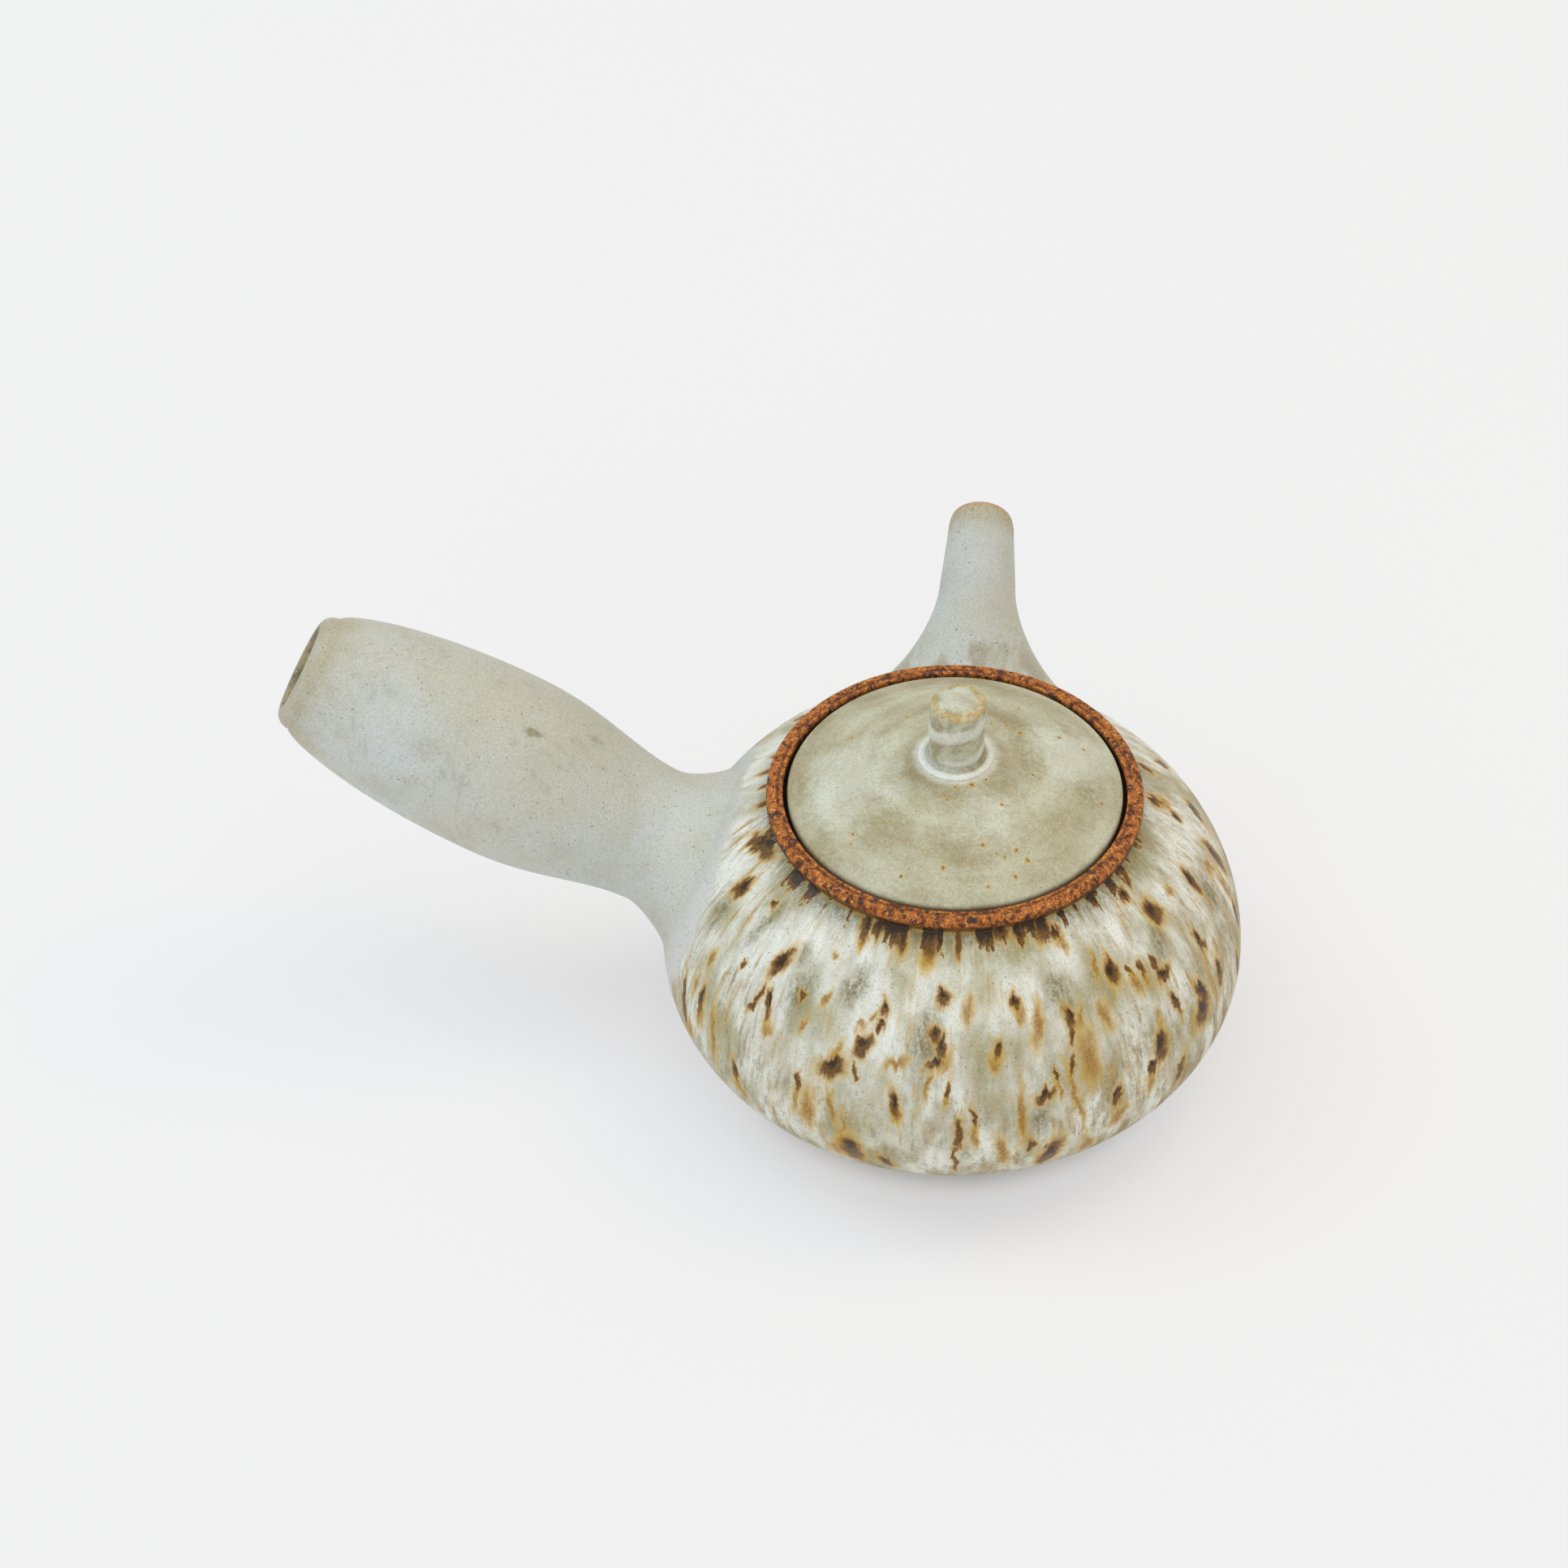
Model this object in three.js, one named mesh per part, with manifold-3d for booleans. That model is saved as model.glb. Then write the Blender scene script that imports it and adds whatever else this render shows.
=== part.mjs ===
// Side-handle teapot in wheel-thrown stoneware. A squat pot, a trumpet spout and a hollow barrel handle
// are thrown apart and luted together, a pierced dome behind the spout holds the leaves back, and
// a drop-in lid with a thrown knob sits in the gallery inside the rim. Millimetres, +Z up, spout towards +Y,
// handle towards -X. The origin is the centre of the flat base.
import * as THREE from "three";
import { mergeVertices } from "three/addons/utils/BufferGeometryUtils.js";
import Module from "manifold-3d";

const wasm = await Module();
wasm.setup();

// Pot
const bodyRadius = 55;
const bodyHeight = 63.5;
const equatorHeight = 25.2;
const baseRadius = 34.4;
const wallThickness = 4;
const floorThickness = 4.5;

// Rim and the gallery inside it that carries the lid
const rimRadius = 35.4;
const rimBandHeight = 3.2;
const rimOverhang = 0.8;
const rimEdgeRound = 1.2;
const rimInnerRound = 0.4;
const rimThickness = 3.1;
const seatDepth = 3.2;
const seatWidth = 4.6;
const seatThickness = 2.6;

// Lid, flange and knob
const lidGap = 0.85;
const lidEdgeDrop = 0.3;
const lidEdgeRound = 0.9;
const lidRise = 9.65;
const lidThickness = 3.2;
const flangeClearance = 0.4;
const flangeThickness = 2.6;
const flangeDepth = 7;
const flangeChamfer = 0.9;
const ventRadius = 1.2;
const ventOffset = 11.5;
const knobHeight = 14.3;
const knobFootRadius = 7.1;
const knobFootLip = 0.3;
const knobFootRise = 1.3;
const knobStemRadius = 5.05;
const knobHeadRadius = 5.3;
const knobHeadRound = 1.1;
const knobCrown = 0.4;
const knobRidge = 0.16;
const knobRidgeCount = 3;

// Handle: a hollow barrel, open at the far end
const handleAzimuth = 173.1;
const handleTilt = 24;
const handleAxisHeight = 14.6;
const handleLength = 80.6;
const handleTipRadius = 11.5;
const handleCrestRadius = 8.8;
const handleLipLength = 3;
const handleBellyRadius = 17.7;
const handleNeckRadius = 13.1;
const handleWall = 3;
const handleMouthRadius = 7.6;
const handleBellyShare = 0.54;
const handleFullnessShare = 0.7;
const handleDrawShare = 1.25;
const handleStepShare = 1.3;
const handleFilletLength = 8;
const handleFootRadius = 19;
const handleFootRadiusAbove = 18;
const handleFootRadiusBelow = 18;
const handleLeaveShare = 0.36;
const handleLandShare = 0.33;

// Spout: a trumpet, cut across steeper than square to its axis
const spoutAzimuth = 90;
const spoutTilt = 42;
const spoutAxisHeight = 2.2;
const spoutLength = 31.9;
const spoutTipRadius = 5.5;
const spoutTipSwell = 0.9;
const spoutTipSwellLength = 3.6;
const spoutNeckRadius = 7.3;
const spoutTipWall = 1.4;
const spoutWall = 2.3;
const spoutCutTilt = 27;
const spoutFilletLength = 19.5;
const spoutFootRadius = 24;
const spoutFootRadiusAbove = 12.6;
const spoutFootRadiusBelow = 17;
const spoutLeaveShare = 0.36;
const spoutLandShare = 0.6;

// Strainer and the opening that it covers
const openingRadius = 9.5;
const strainerLap = 3;
const strainerDepth = 9;
const strainerThickness = 2;
const strainerHoleRadius = 0.85;
const strainerHoleRings = 3;
const strainerFirstRingCount = 6;
const strainerRimMargin = 3.6;

// Slip joint left between pieces that meet on a curved wall, and the overrun of a cutting tool
const lutingGap = 0.3;
const overrun = 2;

// Facets
const potFacets = 48;
const ellipseSteps = 8;
const domeSteps = 6;
const roundSteps = 3;
const handleFacets = 32;
const footFaceSteps = 3;
const handleSteps = 12;
const lipSteps = 6;
const filletSteps = 6;
const handleBoreSteps = 7;
const spoutFacets = 28;
const spoutSteps = 5;
const strainerFacets = 24;
const strainerSteps = 4;
const knobFacets = 24;
const knobSteps = 14;
const toolFacets = 32;
const holeFacets = 6;

// What follows from the sizes
const galleryRadius = rimRadius - rimThickness;
const throatRadius = galleryRadius - seatWidth;
const seatHeight = bodyHeight - seatDepth;
const neckRadius = rimRadius - rimOverhang;
const neckHeight = bodyHeight - rimBandHeight;
const lidRadius = galleryRadius - lidGap;
const flangeRadius = throatRadius - flangeClearance;
const lidEdgeThickness = seatDepth - lidEdgeDrop;

// The pot's outside is two half ellipses that meet at the equator. Its inside is the same pair drawn in
// by the wall.
const bellyShare = (radius) => Math.sqrt(1 - (radius / bodyRadius) ** 2);
const outside = {
  radius: bodyRadius,
  above: (neckHeight - equatorHeight) / bellyShare(neckRadius),
  below: equatorHeight / bellyShare(baseRadius),
};
const inside = {
  radius: outside.radius - wallThickness,
  above: outside.above - wallThickness,
  below: outside.below - wallThickness,
};
const radiusOn = (wall, height) => {
  const half = height < equatorHeight ? wall.below : wall.above;
  return wall.radius * Math.sqrt(1 - ((height - equatorHeight) / half) ** 2);
};

const glaze = new THREE.MeshStandardMaterial({ color: 0xc9c7b6, roughness: 0.5, metalness: 0 });
const paleGlaze = new THREE.MeshStandardMaterial({ color: 0xc3c5bd, roughness: 0.55, metalness: 0 });
const lidGlaze = new THREE.MeshStandardMaterial({ color: 0xbdb9a0, roughness: 0.5, metalness: 0 });
const bareClay = new THREE.MeshStandardMaterial({ color: 0x8a4a22, roughness: 0.85, metalness: 0 });

const sharesTo = (count) => Array.from({ length: count + 1 }, (_, i) => i / count);
const mix = THREE.MathUtils.lerp;
const rightAngle = Math.PI / 2;
const fullTurn = Math.PI * 2;

// Points on an arc of an ellipse in the (radius, height) plane, both ends included
function arc(centreRadius, centreHeight, alongRadius, alongHeight, from, to, steps) {
  return sharesTo(steps).map((share) => {
    const angle = mix(from, to, share);
    const radius = centreRadius + alongRadius * Math.cos(angle);
    return new THREE.Vector2(radius, centreHeight + alongHeight * Math.sin(angle));
  });
}

// A profile of (radius, height) points turned about +Z, with its outline running up the outside
function revolve(profile, facets) {
  return new THREE.LatheGeometry(profile, facets).rotateX(rightAngle);
}

// Rings of points joined into one closed skin: each ring joins the next, and the last joins the first
function loopSkin(rings) {
  const count = rings[0].length;
  const index = [];
  rings.forEach((_, i) => {
    const here = i * count;
    const next = ((i + 1) % rings.length) * count;
    for (let k = 0; k < count; k++) {
      const k1 = (k + 1) % count;
      index.push(here + k, next + k, next + k1, here + k, next + k1, here + k1);
    }
  });
  return geometryOf(rings.flat(), index);
}

function geometryOf(points, index) {
  const geometry = new THREE.BufferGeometry().setFromPoints(points);
  geometry.setIndex(index);
  geometry.computeVertexNormals();
  return geometry;
}

function solidOf(geometry) {
  const bare = geometry.index ? geometry.clone() : mergeVertices(geometry.clone());
  bare.deleteAttribute("normal");
  bare.deleteAttribute("uv");
  const merged = mergeVertices(bare);
  return new wasm.Manifold(
    new wasm.Mesh({
      numProp: 3,
      vertProperties: merged.attributes.position.array,
      triVerts: new Uint32Array(merged.index.array),
    }),
  );
}

function geometryOfSolid(solid) {
  const mesh = solid.getMesh();
  const geometry = new THREE.BufferGeometry();
  geometry.setAttribute("position", new THREE.BufferAttribute(mesh.vertProperties, mesh.numProp));
  geometry.setIndex(new THREE.BufferAttribute(mesh.triVerts, 1));
  geometry.computeVertexNormals();
  return geometry;
}

const cut = (geometry, tools) =>
  geometryOfSolid(tools.reduce((left, tool) => left.subtract(solidOf(tool)), solidOf(geometry)));

// A round tool with its axis along the line between two points
function rod(from, to, radius, facets) {
  const along = new THREE.Vector3().subVectors(to, from);
  const turn = new THREE.Quaternion().setFromUnitVectors(
    new THREE.Vector3(0, 1, 0),
    along.clone().normalize(),
  );
  return new THREE.CylinderGeometry(radius, radius, along.length(), facets)
    .applyQuaternion(turn)
    .translate(...from.clone().add(to).divideScalar(2));
}

// A branch is a spout or handle: a local frame whose +Z runs out along its axis from the pot's own axis,
// with +X level and +Y on its upper side.
function branchFrame(azimuth, tilt, height) {
  const turn = THREE.MathUtils.degToRad(azimuth);
  const rise = THREE.MathUtils.degToRad(tilt);
  const level = Math.cos(rise);
  const axis = new THREE.Vector3(level * Math.cos(turn), level * Math.sin(turn), Math.sin(rise));
  const side = new THREE.Vector3().crossVectors(new THREE.Vector3(0, 0, 1), axis).normalize();
  const upper = new THREE.Vector3().crossVectors(axis, side);
  const matrix = new THREE.Matrix4().makeBasis(side, upper, axis).setPosition(0, 0, height);
  return { axis, matrix };
}

// How far out along a branch a line parallel to its axis leaves one of the pot's two walls
function wallDistance(branch, wall, spread, angle) {
  const start = new THREE.Vector3(spread * Math.cos(angle), spread * Math.sin(angle), 0);
  start.applyMatrix4(branch.matrix);
  const leave = (half) => {
    const shape = new THREE.Vector3(1 / wall.radius, 1 / wall.radius, 1 / half);
    const p = start.clone().sub(new THREE.Vector3(0, 0, equatorHeight)).multiply(shape);
    const d = branch.axis.clone().multiply(shape);
    const slope = p.dot(d);
    return (Math.sqrt(slope ** 2 - d.lengthSq() * (p.lengthSq() - 1)) - slope) / d.lengthSq();
  };
  const upper = leave(wall.above);
  return start.z + upper * branch.axis.z >= equatorHeight ? upper : leave(wall.below);
}

// One ring of a branch: both its spread from the axis and its distance along it may change round the ring
function branchRing(branch, facets, spreadAt, distanceAt) {
  return Array.from({ length: facets }, (_, k) => {
    const angle = (k / facets) * fullTurn;
    const spread = spreadAt(angle);
    const flat = new THREE.Vector3(spread * Math.cos(angle), spread * Math.sin(angle), 0);
    return flat.setZ(distanceAt(angle, spread)).applyMatrix4(branch.matrix);
  });
}

// The luted foot of a branch: a fillet that leaves the tube and settles on the pot, then the face that
// follows the wall. The foot's outline is an oval with its own reach beside, above and below the axis.
// Its leave and land shares say how long the fillet holds to the tube and to the pot.
function footRings(branch, facets, foot) {
  const onWall = (angle, spread) => wallDistance(branch, outside, spread, angle) + lutingGap;
  const reach = (angle) => {
    const upright = Math.sin(angle) > 0 ? foot.above : foot.below;
    return 1 / Math.hypot(Math.cos(angle) / foot.beside, Math.sin(angle) / upright);
  };
  const curve = new THREE.CubicBezierCurve(
    new THREE.Vector2(0, 1),
    new THREE.Vector2(0, 1 - foot.leave),
    new THREE.Vector2(1 - foot.land, 0),
    new THREE.Vector2(1, 0),
  );
  const fillet = curve.getPoints(filletSteps).map((point) => {
    const spreadAt = (angle) => mix(foot.neckRadius, reach(angle), point.x);
    const distanceAt = (angle, spread) => onWall(angle, spread) + foot.length * point.y;
    return branchRing(branch, facets, spreadAt, distanceAt);
  });
  const face = sharesTo(footFaceSteps).slice(1).map((share) => {
    const spreadAt = (angle) => mix(reach(angle), foot.boreRadius, share);
    return branchRing(branch, facets, spreadAt, onWall);
  });
  return { fillet, face, startAt: (angle) => onWall(angle, foot.neckRadius) + foot.length };
}

const spout = branchFrame(spoutAzimuth, spoutTilt, spoutAxisHeight);
const handle = branchFrame(handleAzimuth, handleTilt, handleAxisHeight);

function buildBody() {
  const outerRoundHeight = bodyHeight - rimEdgeRound;
  const innerRoundHeight = bodyHeight - rimInnerRound;
  const innerRoundRadius = galleryRadius + rimInnerRound;
  const baseAngle = -Math.acos(baseRadius / outside.radius);
  const neckAngle = Math.acos(neckRadius / outside.radius);
  const ledgeHeight = seatHeight - seatThickness;
  const ledgeAngle = Math.acos(radiusOn(inside, ledgeHeight) / inside.radius);
  const floorAngle = -Math.acos(radiusOn(inside, floorThickness) / inside.radius);
  const belly = (wall, from, to, steps) => {
    const half = to < 0 || from < 0 ? wall.below : wall.above;
    return arc(0, equatorHeight, wall.radius, half, from, to, steps);
  };
  const round = (centreRadius, centreHeight, radius, from) =>
    arc(centreRadius, centreHeight, radius, radius, from, from + rightAngle, roundSteps);
  const profile = [
    new THREE.Vector2(0, 0),
    ...belly(outside, baseAngle, 0, ellipseSteps),
    ...belly(outside, 0, neckAngle, ellipseSteps).slice(1),
    new THREE.Vector2(rimRadius, neckHeight + rimOverhang),
    ...round(rimRadius - rimEdgeRound, outerRoundHeight, rimEdgeRound, 0),
    ...round(innerRoundRadius, innerRoundHeight, rimInnerRound, rightAngle),
    new THREE.Vector2(galleryRadius, seatHeight),
    new THREE.Vector2(throatRadius, seatHeight),
    new THREE.Vector2(throatRadius, ledgeHeight),
    ...belly(inside, ledgeAngle, 0, ellipseSteps),
    ...belly(inside, 0, floorAngle, ellipseSteps).slice(1),
    new THREE.Vector2(0, floorThickness),
  ];
  const along = (distance) => new THREE.Vector3(0, 0, distance).applyMatrix4(spout.matrix);
  const wallAt = wallDistance(spout, inside, 0, 0);
  const reach = wallThickness + openingRadius;
  const drill = rod(along(wallAt - reach), along(wallAt + reach), openingRadius, toolFacets);
  return cut(revolve(profile, potFacets), [drill]);
}

function buildHandle() {
  const tip = wallDistance(handle, outside, 0, 0) + handleLength;
  const boreNeckRadius = handleNeckRadius - handleWall;
  const foot = footRings(handle, handleFacets, {
    neckRadius: handleNeckRadius,
    boreRadius: boreNeckRadius,
    length: handleFilletLength,
    beside: handleFootRadius,
    above: handleFootRadiusAbove,
    below: handleFootRadiusBelow,
    leave: handleLeaveShare,
    land: handleLandShare,
  });
  // The barrel swells from the tip to its belly and draws in again to the neck.
  const swell = (share, tipRadius, bellyRadius, neckRadius) => {
    if (share < handleBellyShare) {
      const left = 1 - share / handleBellyShare;
      return mix(tipRadius, bellyRadius, (1 - left ** 2) ** handleFullnessShare);
    }
    const past = ((share - handleBellyShare) / (1 - handleBellyShare)) ** handleDrawShare;
    return mix(bellyRadius, neckRadius, THREE.MathUtils.smoothstep(past, 0, 1));
  };
  const lipEnd = tip - handleLipLength;
  const station = (share) => (angle) => mix(lipEnd, foot.startAt(angle), share);
  const barrel = sharesTo(handleSteps).slice(1, -1).map((share) => {
    const eased = share ** handleStepShare;
    const radius = swell(eased, handleTipRadius, handleBellyRadius, handleNeckRadius);
    return branchRing(handle, handleFacets, () => radius, station(eased));
  });
  const bore = sharesTo(handleBoreSteps).slice(1).map((share) => {
    const radius = swell(1 - share, handleMouthRadius, handleBellyRadius - handleWall, boreNeckRadius);
    return branchRing(handle, handleFacets, () => radius, station(1 - share));
  });
  // The lip rolls from the mouth over its crest to the outside.
  const lip = sharesTo(lipSteps).slice(1).map((share) => {
    const turn = share * Math.PI;
    const side = turn < rightAngle ? handleMouthRadius : handleTipRadius;
    const radius = mix(handleCrestRadius, side, Math.abs(Math.cos(turn)));
    const distance = lipEnd + handleLipLength * Math.sin(turn);
    return branchRing(handle, handleFacets, () => radius, () => distance);
  });
  return loopSkin([...lip, ...barrel, ...foot.fillet, ...foot.face, ...bore]);
}

function buildSpout() {
  const tip = wallDistance(spout, outside, 0, 0) + spoutLength;
  const slope = Math.tan(THREE.MathUtils.degToRad(spoutCutTilt));
  const boreFoot = openingRadius - lutingGap;
  const boreTip = spoutTipRadius - spoutTipWall;
  const boreNeck = spoutNeckRadius - spoutWall;
  const foot = footRings(spout, spoutFacets, {
    neckRadius: spoutNeckRadius,
    boreRadius: boreFoot,
    length: spoutFilletLength,
    beside: spoutFootRadius,
    above: spoutFootRadiusAbove,
    below: spoutFootRadiusBelow,
    leave: spoutLeaveShare,
    land: spoutLandShare,
  });
  const cutAt = (angle, spread) => tip + spread * Math.sin(angle) * slope;
  const ring = (spread, distanceAt) => branchRing(spout, spoutFacets, () => spread, distanceAt);
  const swollen = spoutTipRadius + spoutTipSwell;
  const belowCut = (angle, spread) => cutAt(angle, spread) - spoutTipSwellLength;
  const tube = sharesTo(spoutSteps).slice(0, -1).map((share) => {
    const spread = mix(swollen, spoutNeckRadius, share);
    return ring(spread, (angle) => mix(belowCut(angle, spread), foot.startAt(angle), share));
  });
  const trumpet = sharesTo(filletSteps).slice(1, -1).map((share) => {
    const turn = (1 - share) * rightAngle;
    const spread = mix(boreFoot, boreNeck, Math.cos(turn));
    const lift = lutingGap + (spoutFilletLength - spoutWall) * (1 - Math.sin(turn));
    return ring(spread, (angle) => wallDistance(spout, outside, boreFoot, angle) + lift);
  });
  const bore = sharesTo(spoutSteps).map((share) => {
    const spread = mix(boreNeck, boreTip, share);
    return ring(spread, (angle) => mix(foot.startAt(angle), cutAt(angle, spread), share));
  });
  const edge = ring(spoutTipRadius, cutAt);
  return loopSkin([edge, ...tube, ...foot.fillet, ...foot.face, ...trumpet, ...bore]);
}

function buildStrainer() {
  const radius = openingRadius + strainerLap;
  const innerWall = (angle, spread) => wallDistance(spout, inside, spread, angle) - lutingGap;
  const seatLine = sharesTo(strainerFacets).map((share) => innerWall(share * fullTurn, radius));
  const meanEdge = (Math.min(...seatLine) + Math.max(...seatLine)) / 2;
  const dome = (share, inset) => {
    const turn = share * rightAngle;
    const spread = (radius - inset) * Math.sin(turn);
    const depth = (strainerDepth - inset) * Math.cos(turn);
    const edge = (angle) => innerWall(angle, radius - inset);
    const distanceAt = (angle) => mix(meanEdge, edge(angle), share ** 2) - depth;
    return branchRing(spout, strainerFacets, () => spread, distanceAt);
  };
  const apex = (inset) =>
    new THREE.Vector3(0, 0, meanEdge - strainerDepth + inset).applyMatrix4(spout.matrix);
  const shares = sharesTo(strainerSteps).slice(1);
  const rings = [
    ...shares.map((share) => dome(share, 0)),
    ...shares.reverse().map((share) => dome(share, strainerThickness)),
  ];
  const shell = cappedSkin(apex(0), rings, apex(strainerThickness));
  const centre = new THREE.Vector3(0, 0, meanEdge);
  const pierced = radius - strainerRimMargin;
  const needles = sharesTo(strainerHoleRings).flatMap((share, ringIndex) => {
    const count = Math.max(1, ringIndex * strainerFirstRingCount);
    return Array.from({ length: count }, (_, k) => {
      const angle = (k / count) * fullTurn;
      const lean = Math.asin((share * pierced) / radius);
      const spread = radius * Math.sin(lean);
      const tip = new THREE.Vector3(spread * Math.cos(angle), spread * Math.sin(angle), 0);
      tip.z = meanEdge - strainerDepth * Math.cos(lean);
      const inward = tip.clone().sub(centre).normalize();
      const reach = strainerThickness + overrun;
      const from = tip.clone().addScaledVector(inward, reach).applyMatrix4(spout.matrix);
      const to = tip.clone().addScaledVector(inward, -reach).applyMatrix4(spout.matrix);
      return rod(from, to, strainerHoleRadius, holeFacets);
    });
  });
  return cut(shell, needles);
}

// Rings joined one to the next, with a point closing each end
function cappedSkin(first, rings, last) {
  const count = rings[0].length;
  const points = [first, ...rings.flat(), last];
  const end = points.length - 1;
  const at = (ring, k) => 1 + ring * count + (k % count);
  const index = [];
  for (let k = 0; k < count; k++) {
    index.push(0, at(0, k + 1), at(0, k));
    for (let ring = 0; ring < rings.length - 1; ring++) {
      index.push(at(ring, k), at(ring + 1, k + 1), at(ring + 1, k));
      index.push(at(ring, k), at(ring, k + 1), at(ring + 1, k + 1));
    }
    index.push(at(rings.length - 1, k), at(rings.length - 1, k + 1), end);
  }
  return geometryOf(points, index);
}

// The lid's dome is part of a ball. Heights here are above the gallery's seat.
const domeRadius = (lidRadius ** 2 + lidRise ** 2) / (2 * lidRise);
const domeCentre = lidEdgeThickness + lidRise - domeRadius;
const landHeight = domeCentre + Math.sqrt(domeRadius ** 2 - knobFootRadius ** 2);

function buildLid() {
  const flangeInside = flangeRadius - flangeThickness;
  const hollowRadius = domeRadius - lidThickness;
  const roundAngle = Math.acos((lidRadius - lidEdgeRound) / domeRadius);
  const landAngle = Math.acos(knobFootRadius / domeRadius);
  const edgeHeight = domeCentre + domeRadius * Math.sin(roundAngle) - lidEdgeRound;
  const hollowAngle = Math.max(
    Math.acos(flangeInside / hollowRadius),
    Math.asin(-domeCentre / hollowRadius),
  );
  const dome = (radius, from, to) => arc(0, domeCentre, radius, radius, from, to, domeSteps).slice(1);
  const edgeCentre = lidRadius - lidEdgeRound;
  const profile = [
    new THREE.Vector2(0, domeCentre + hollowRadius),
    ...dome(hollowRadius, rightAngle, hollowAngle),
    new THREE.Vector2(flangeInside, 0),
    new THREE.Vector2(edgeCentre, 0),
    new THREE.Vector2(lidRadius, Math.min(lidEdgeRound, edgeHeight)),
    ...arc(edgeCentre, edgeHeight, lidEdgeRound, lidEdgeRound, 0, roundAngle, roundSteps),
    ...dome(domeRadius, roundAngle, landAngle),
    new THREE.Vector2(0, landHeight),
  ];
  const top = new THREE.Vector3(0, ventOffset, domeCentre + domeRadius + overrun);
  const under = new THREE.Vector3(0, ventOffset, 0);
  return cut(revolve(profile, potFacets), [rod(under, top, ventRadius, holeFacets)]);
}

function buildFlange() {
  const flangeInside = flangeRadius - flangeThickness;
  const profile = [
    new THREE.Vector2(flangeInside, 0),
    new THREE.Vector2(flangeInside, -flangeDepth),
    new THREE.Vector2(flangeRadius - flangeChamfer, -flangeDepth),
    new THREE.Vector2(flangeRadius, flangeChamfer - flangeDepth),
    new THREE.Vector2(flangeRadius, 0),
    new THREE.Vector2(flangeInside, 0),
  ];
  return revolve(profile, potFacets);
}

// The knob's throwing ridges climb its stem as one helix.
function buildKnob() {
  const stemStart = knobFootLip + knobFootRise;
  const headStart = knobHeight - knobCrown - knobHeadRound;
  const footReach = knobFootRadius - knobStemRadius;
  const foot = arc(knobFootRadius, stemStart, footReach, knobFootRise, -rightAngle, -Math.PI, roundSteps);
  const headCentre = knobHeadRadius - knobHeadRound;
  const head = arc(headCentre, headStart, knobHeadRound, knobHeadRound, 0, rightAngle, roundSteps);
  const plain = (point) => knobRing(() => point.x, point.y);
  const stem = sharesTo(knobSteps).slice(1).map((share) => {
    const ridge = knobRidge * Math.sin(share * Math.PI);
    const climb = share * knobRidgeCount * fullTurn;
    const radius = mix(knobStemRadius, knobHeadRadius, share);
    const radiusAt = (angle) => radius + ridge * Math.sin(climb - angle);
    return knobRing(radiusAt, mix(stemStart, headStart, share));
  });
  const base = new THREE.Vector3(0, 0, 0);
  const rim = knobRing(() => knobFootRadius, 0);
  const crown = new THREE.Vector3(0, 0, knobHeight);
  return cappedSkin(base, [rim, ...foot.map(plain), ...stem, ...head.slice(1).map(plain)], crown);
}

function knobRing(radiusAt, height) {
  return Array.from({ length: knobFacets }, (_, k) => {
    const angle = (k / knobFacets) * fullTurn;
    const radius = radiusAt(angle);
    return new THREE.Vector3(radius * Math.cos(angle), radius * Math.sin(angle), height);
  });
}

function piece(name, geometry, material) {
  const mesh = new THREE.Mesh(geometry, material);
  mesh.name = name;
  return mesh;
}

const lid = new THREE.Group();
lid.position.z = seatHeight;
const knob = piece("lid_knob", buildKnob(), lidGlaze);
knob.position.z = landHeight;
lid.add(piece("lid_plate", buildLid(), lidGlaze), piece("lid_flange", buildFlange(), bareClay), knob);

const teapot = new THREE.Group();
teapot.add(
  piece("pot_body", buildBody(), glaze),
  piece("spout", buildSpout(), paleGlaze),
  piece("strainer", buildStrainer(), bareClay),
  piece("side_handle", buildHandle(), paleGlaze),
  lid,
);

export default teapot;
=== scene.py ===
"""Side-handle teapot in grey-white stoneware glaze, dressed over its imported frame. Metres, +Z up."""

import functools
import math

import bpy
import numpy as np
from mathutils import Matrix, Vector


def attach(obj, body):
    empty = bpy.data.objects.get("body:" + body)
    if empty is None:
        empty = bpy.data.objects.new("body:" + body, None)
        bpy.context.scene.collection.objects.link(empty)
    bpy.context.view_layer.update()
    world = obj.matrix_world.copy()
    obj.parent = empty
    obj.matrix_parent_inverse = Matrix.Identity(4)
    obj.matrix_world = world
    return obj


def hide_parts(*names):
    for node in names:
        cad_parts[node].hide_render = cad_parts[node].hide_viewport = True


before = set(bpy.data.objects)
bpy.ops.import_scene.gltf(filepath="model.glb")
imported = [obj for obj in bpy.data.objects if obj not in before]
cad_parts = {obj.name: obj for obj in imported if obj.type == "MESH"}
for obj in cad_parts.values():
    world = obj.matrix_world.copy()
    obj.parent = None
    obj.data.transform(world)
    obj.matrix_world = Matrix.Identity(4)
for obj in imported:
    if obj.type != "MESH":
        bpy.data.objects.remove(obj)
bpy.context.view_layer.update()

MM = 0.001
QUARTER_TURN = math.pi / 2
FULL_TURN = math.pi * 2

# Sizes in millimetres: the pot
BODY_RADIUS = 55
BODY_HEIGHT = 63.5
EQUATOR_HEIGHT = 25.2
BASE_RADIUS = 34.4
BASE_ROUND = 0.7
WALL = 4
FLOOR_THICKNESS = 4.5

# The rim and the gallery inside it
RIM_RADIUS = 35.4
RIM_BAND_HEIGHT = 3.2
RIM_OVERHANG = 0.8
RIM_OUTER_ROUND = 1.2
RIM_INNER_ROUND = 0.4
RIM_THICKNESS = 3.1
RIM_GROOVE_RADIUS = 33.3
RIM_GROOVE_WIDTH = 0.3
RIM_GROOVE_DEPTH = 0.16
SEAT_DEPTH = 3.2
SEAT_WIDTH = 4.6
SEAT_THICKNESS = 2.6

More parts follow.
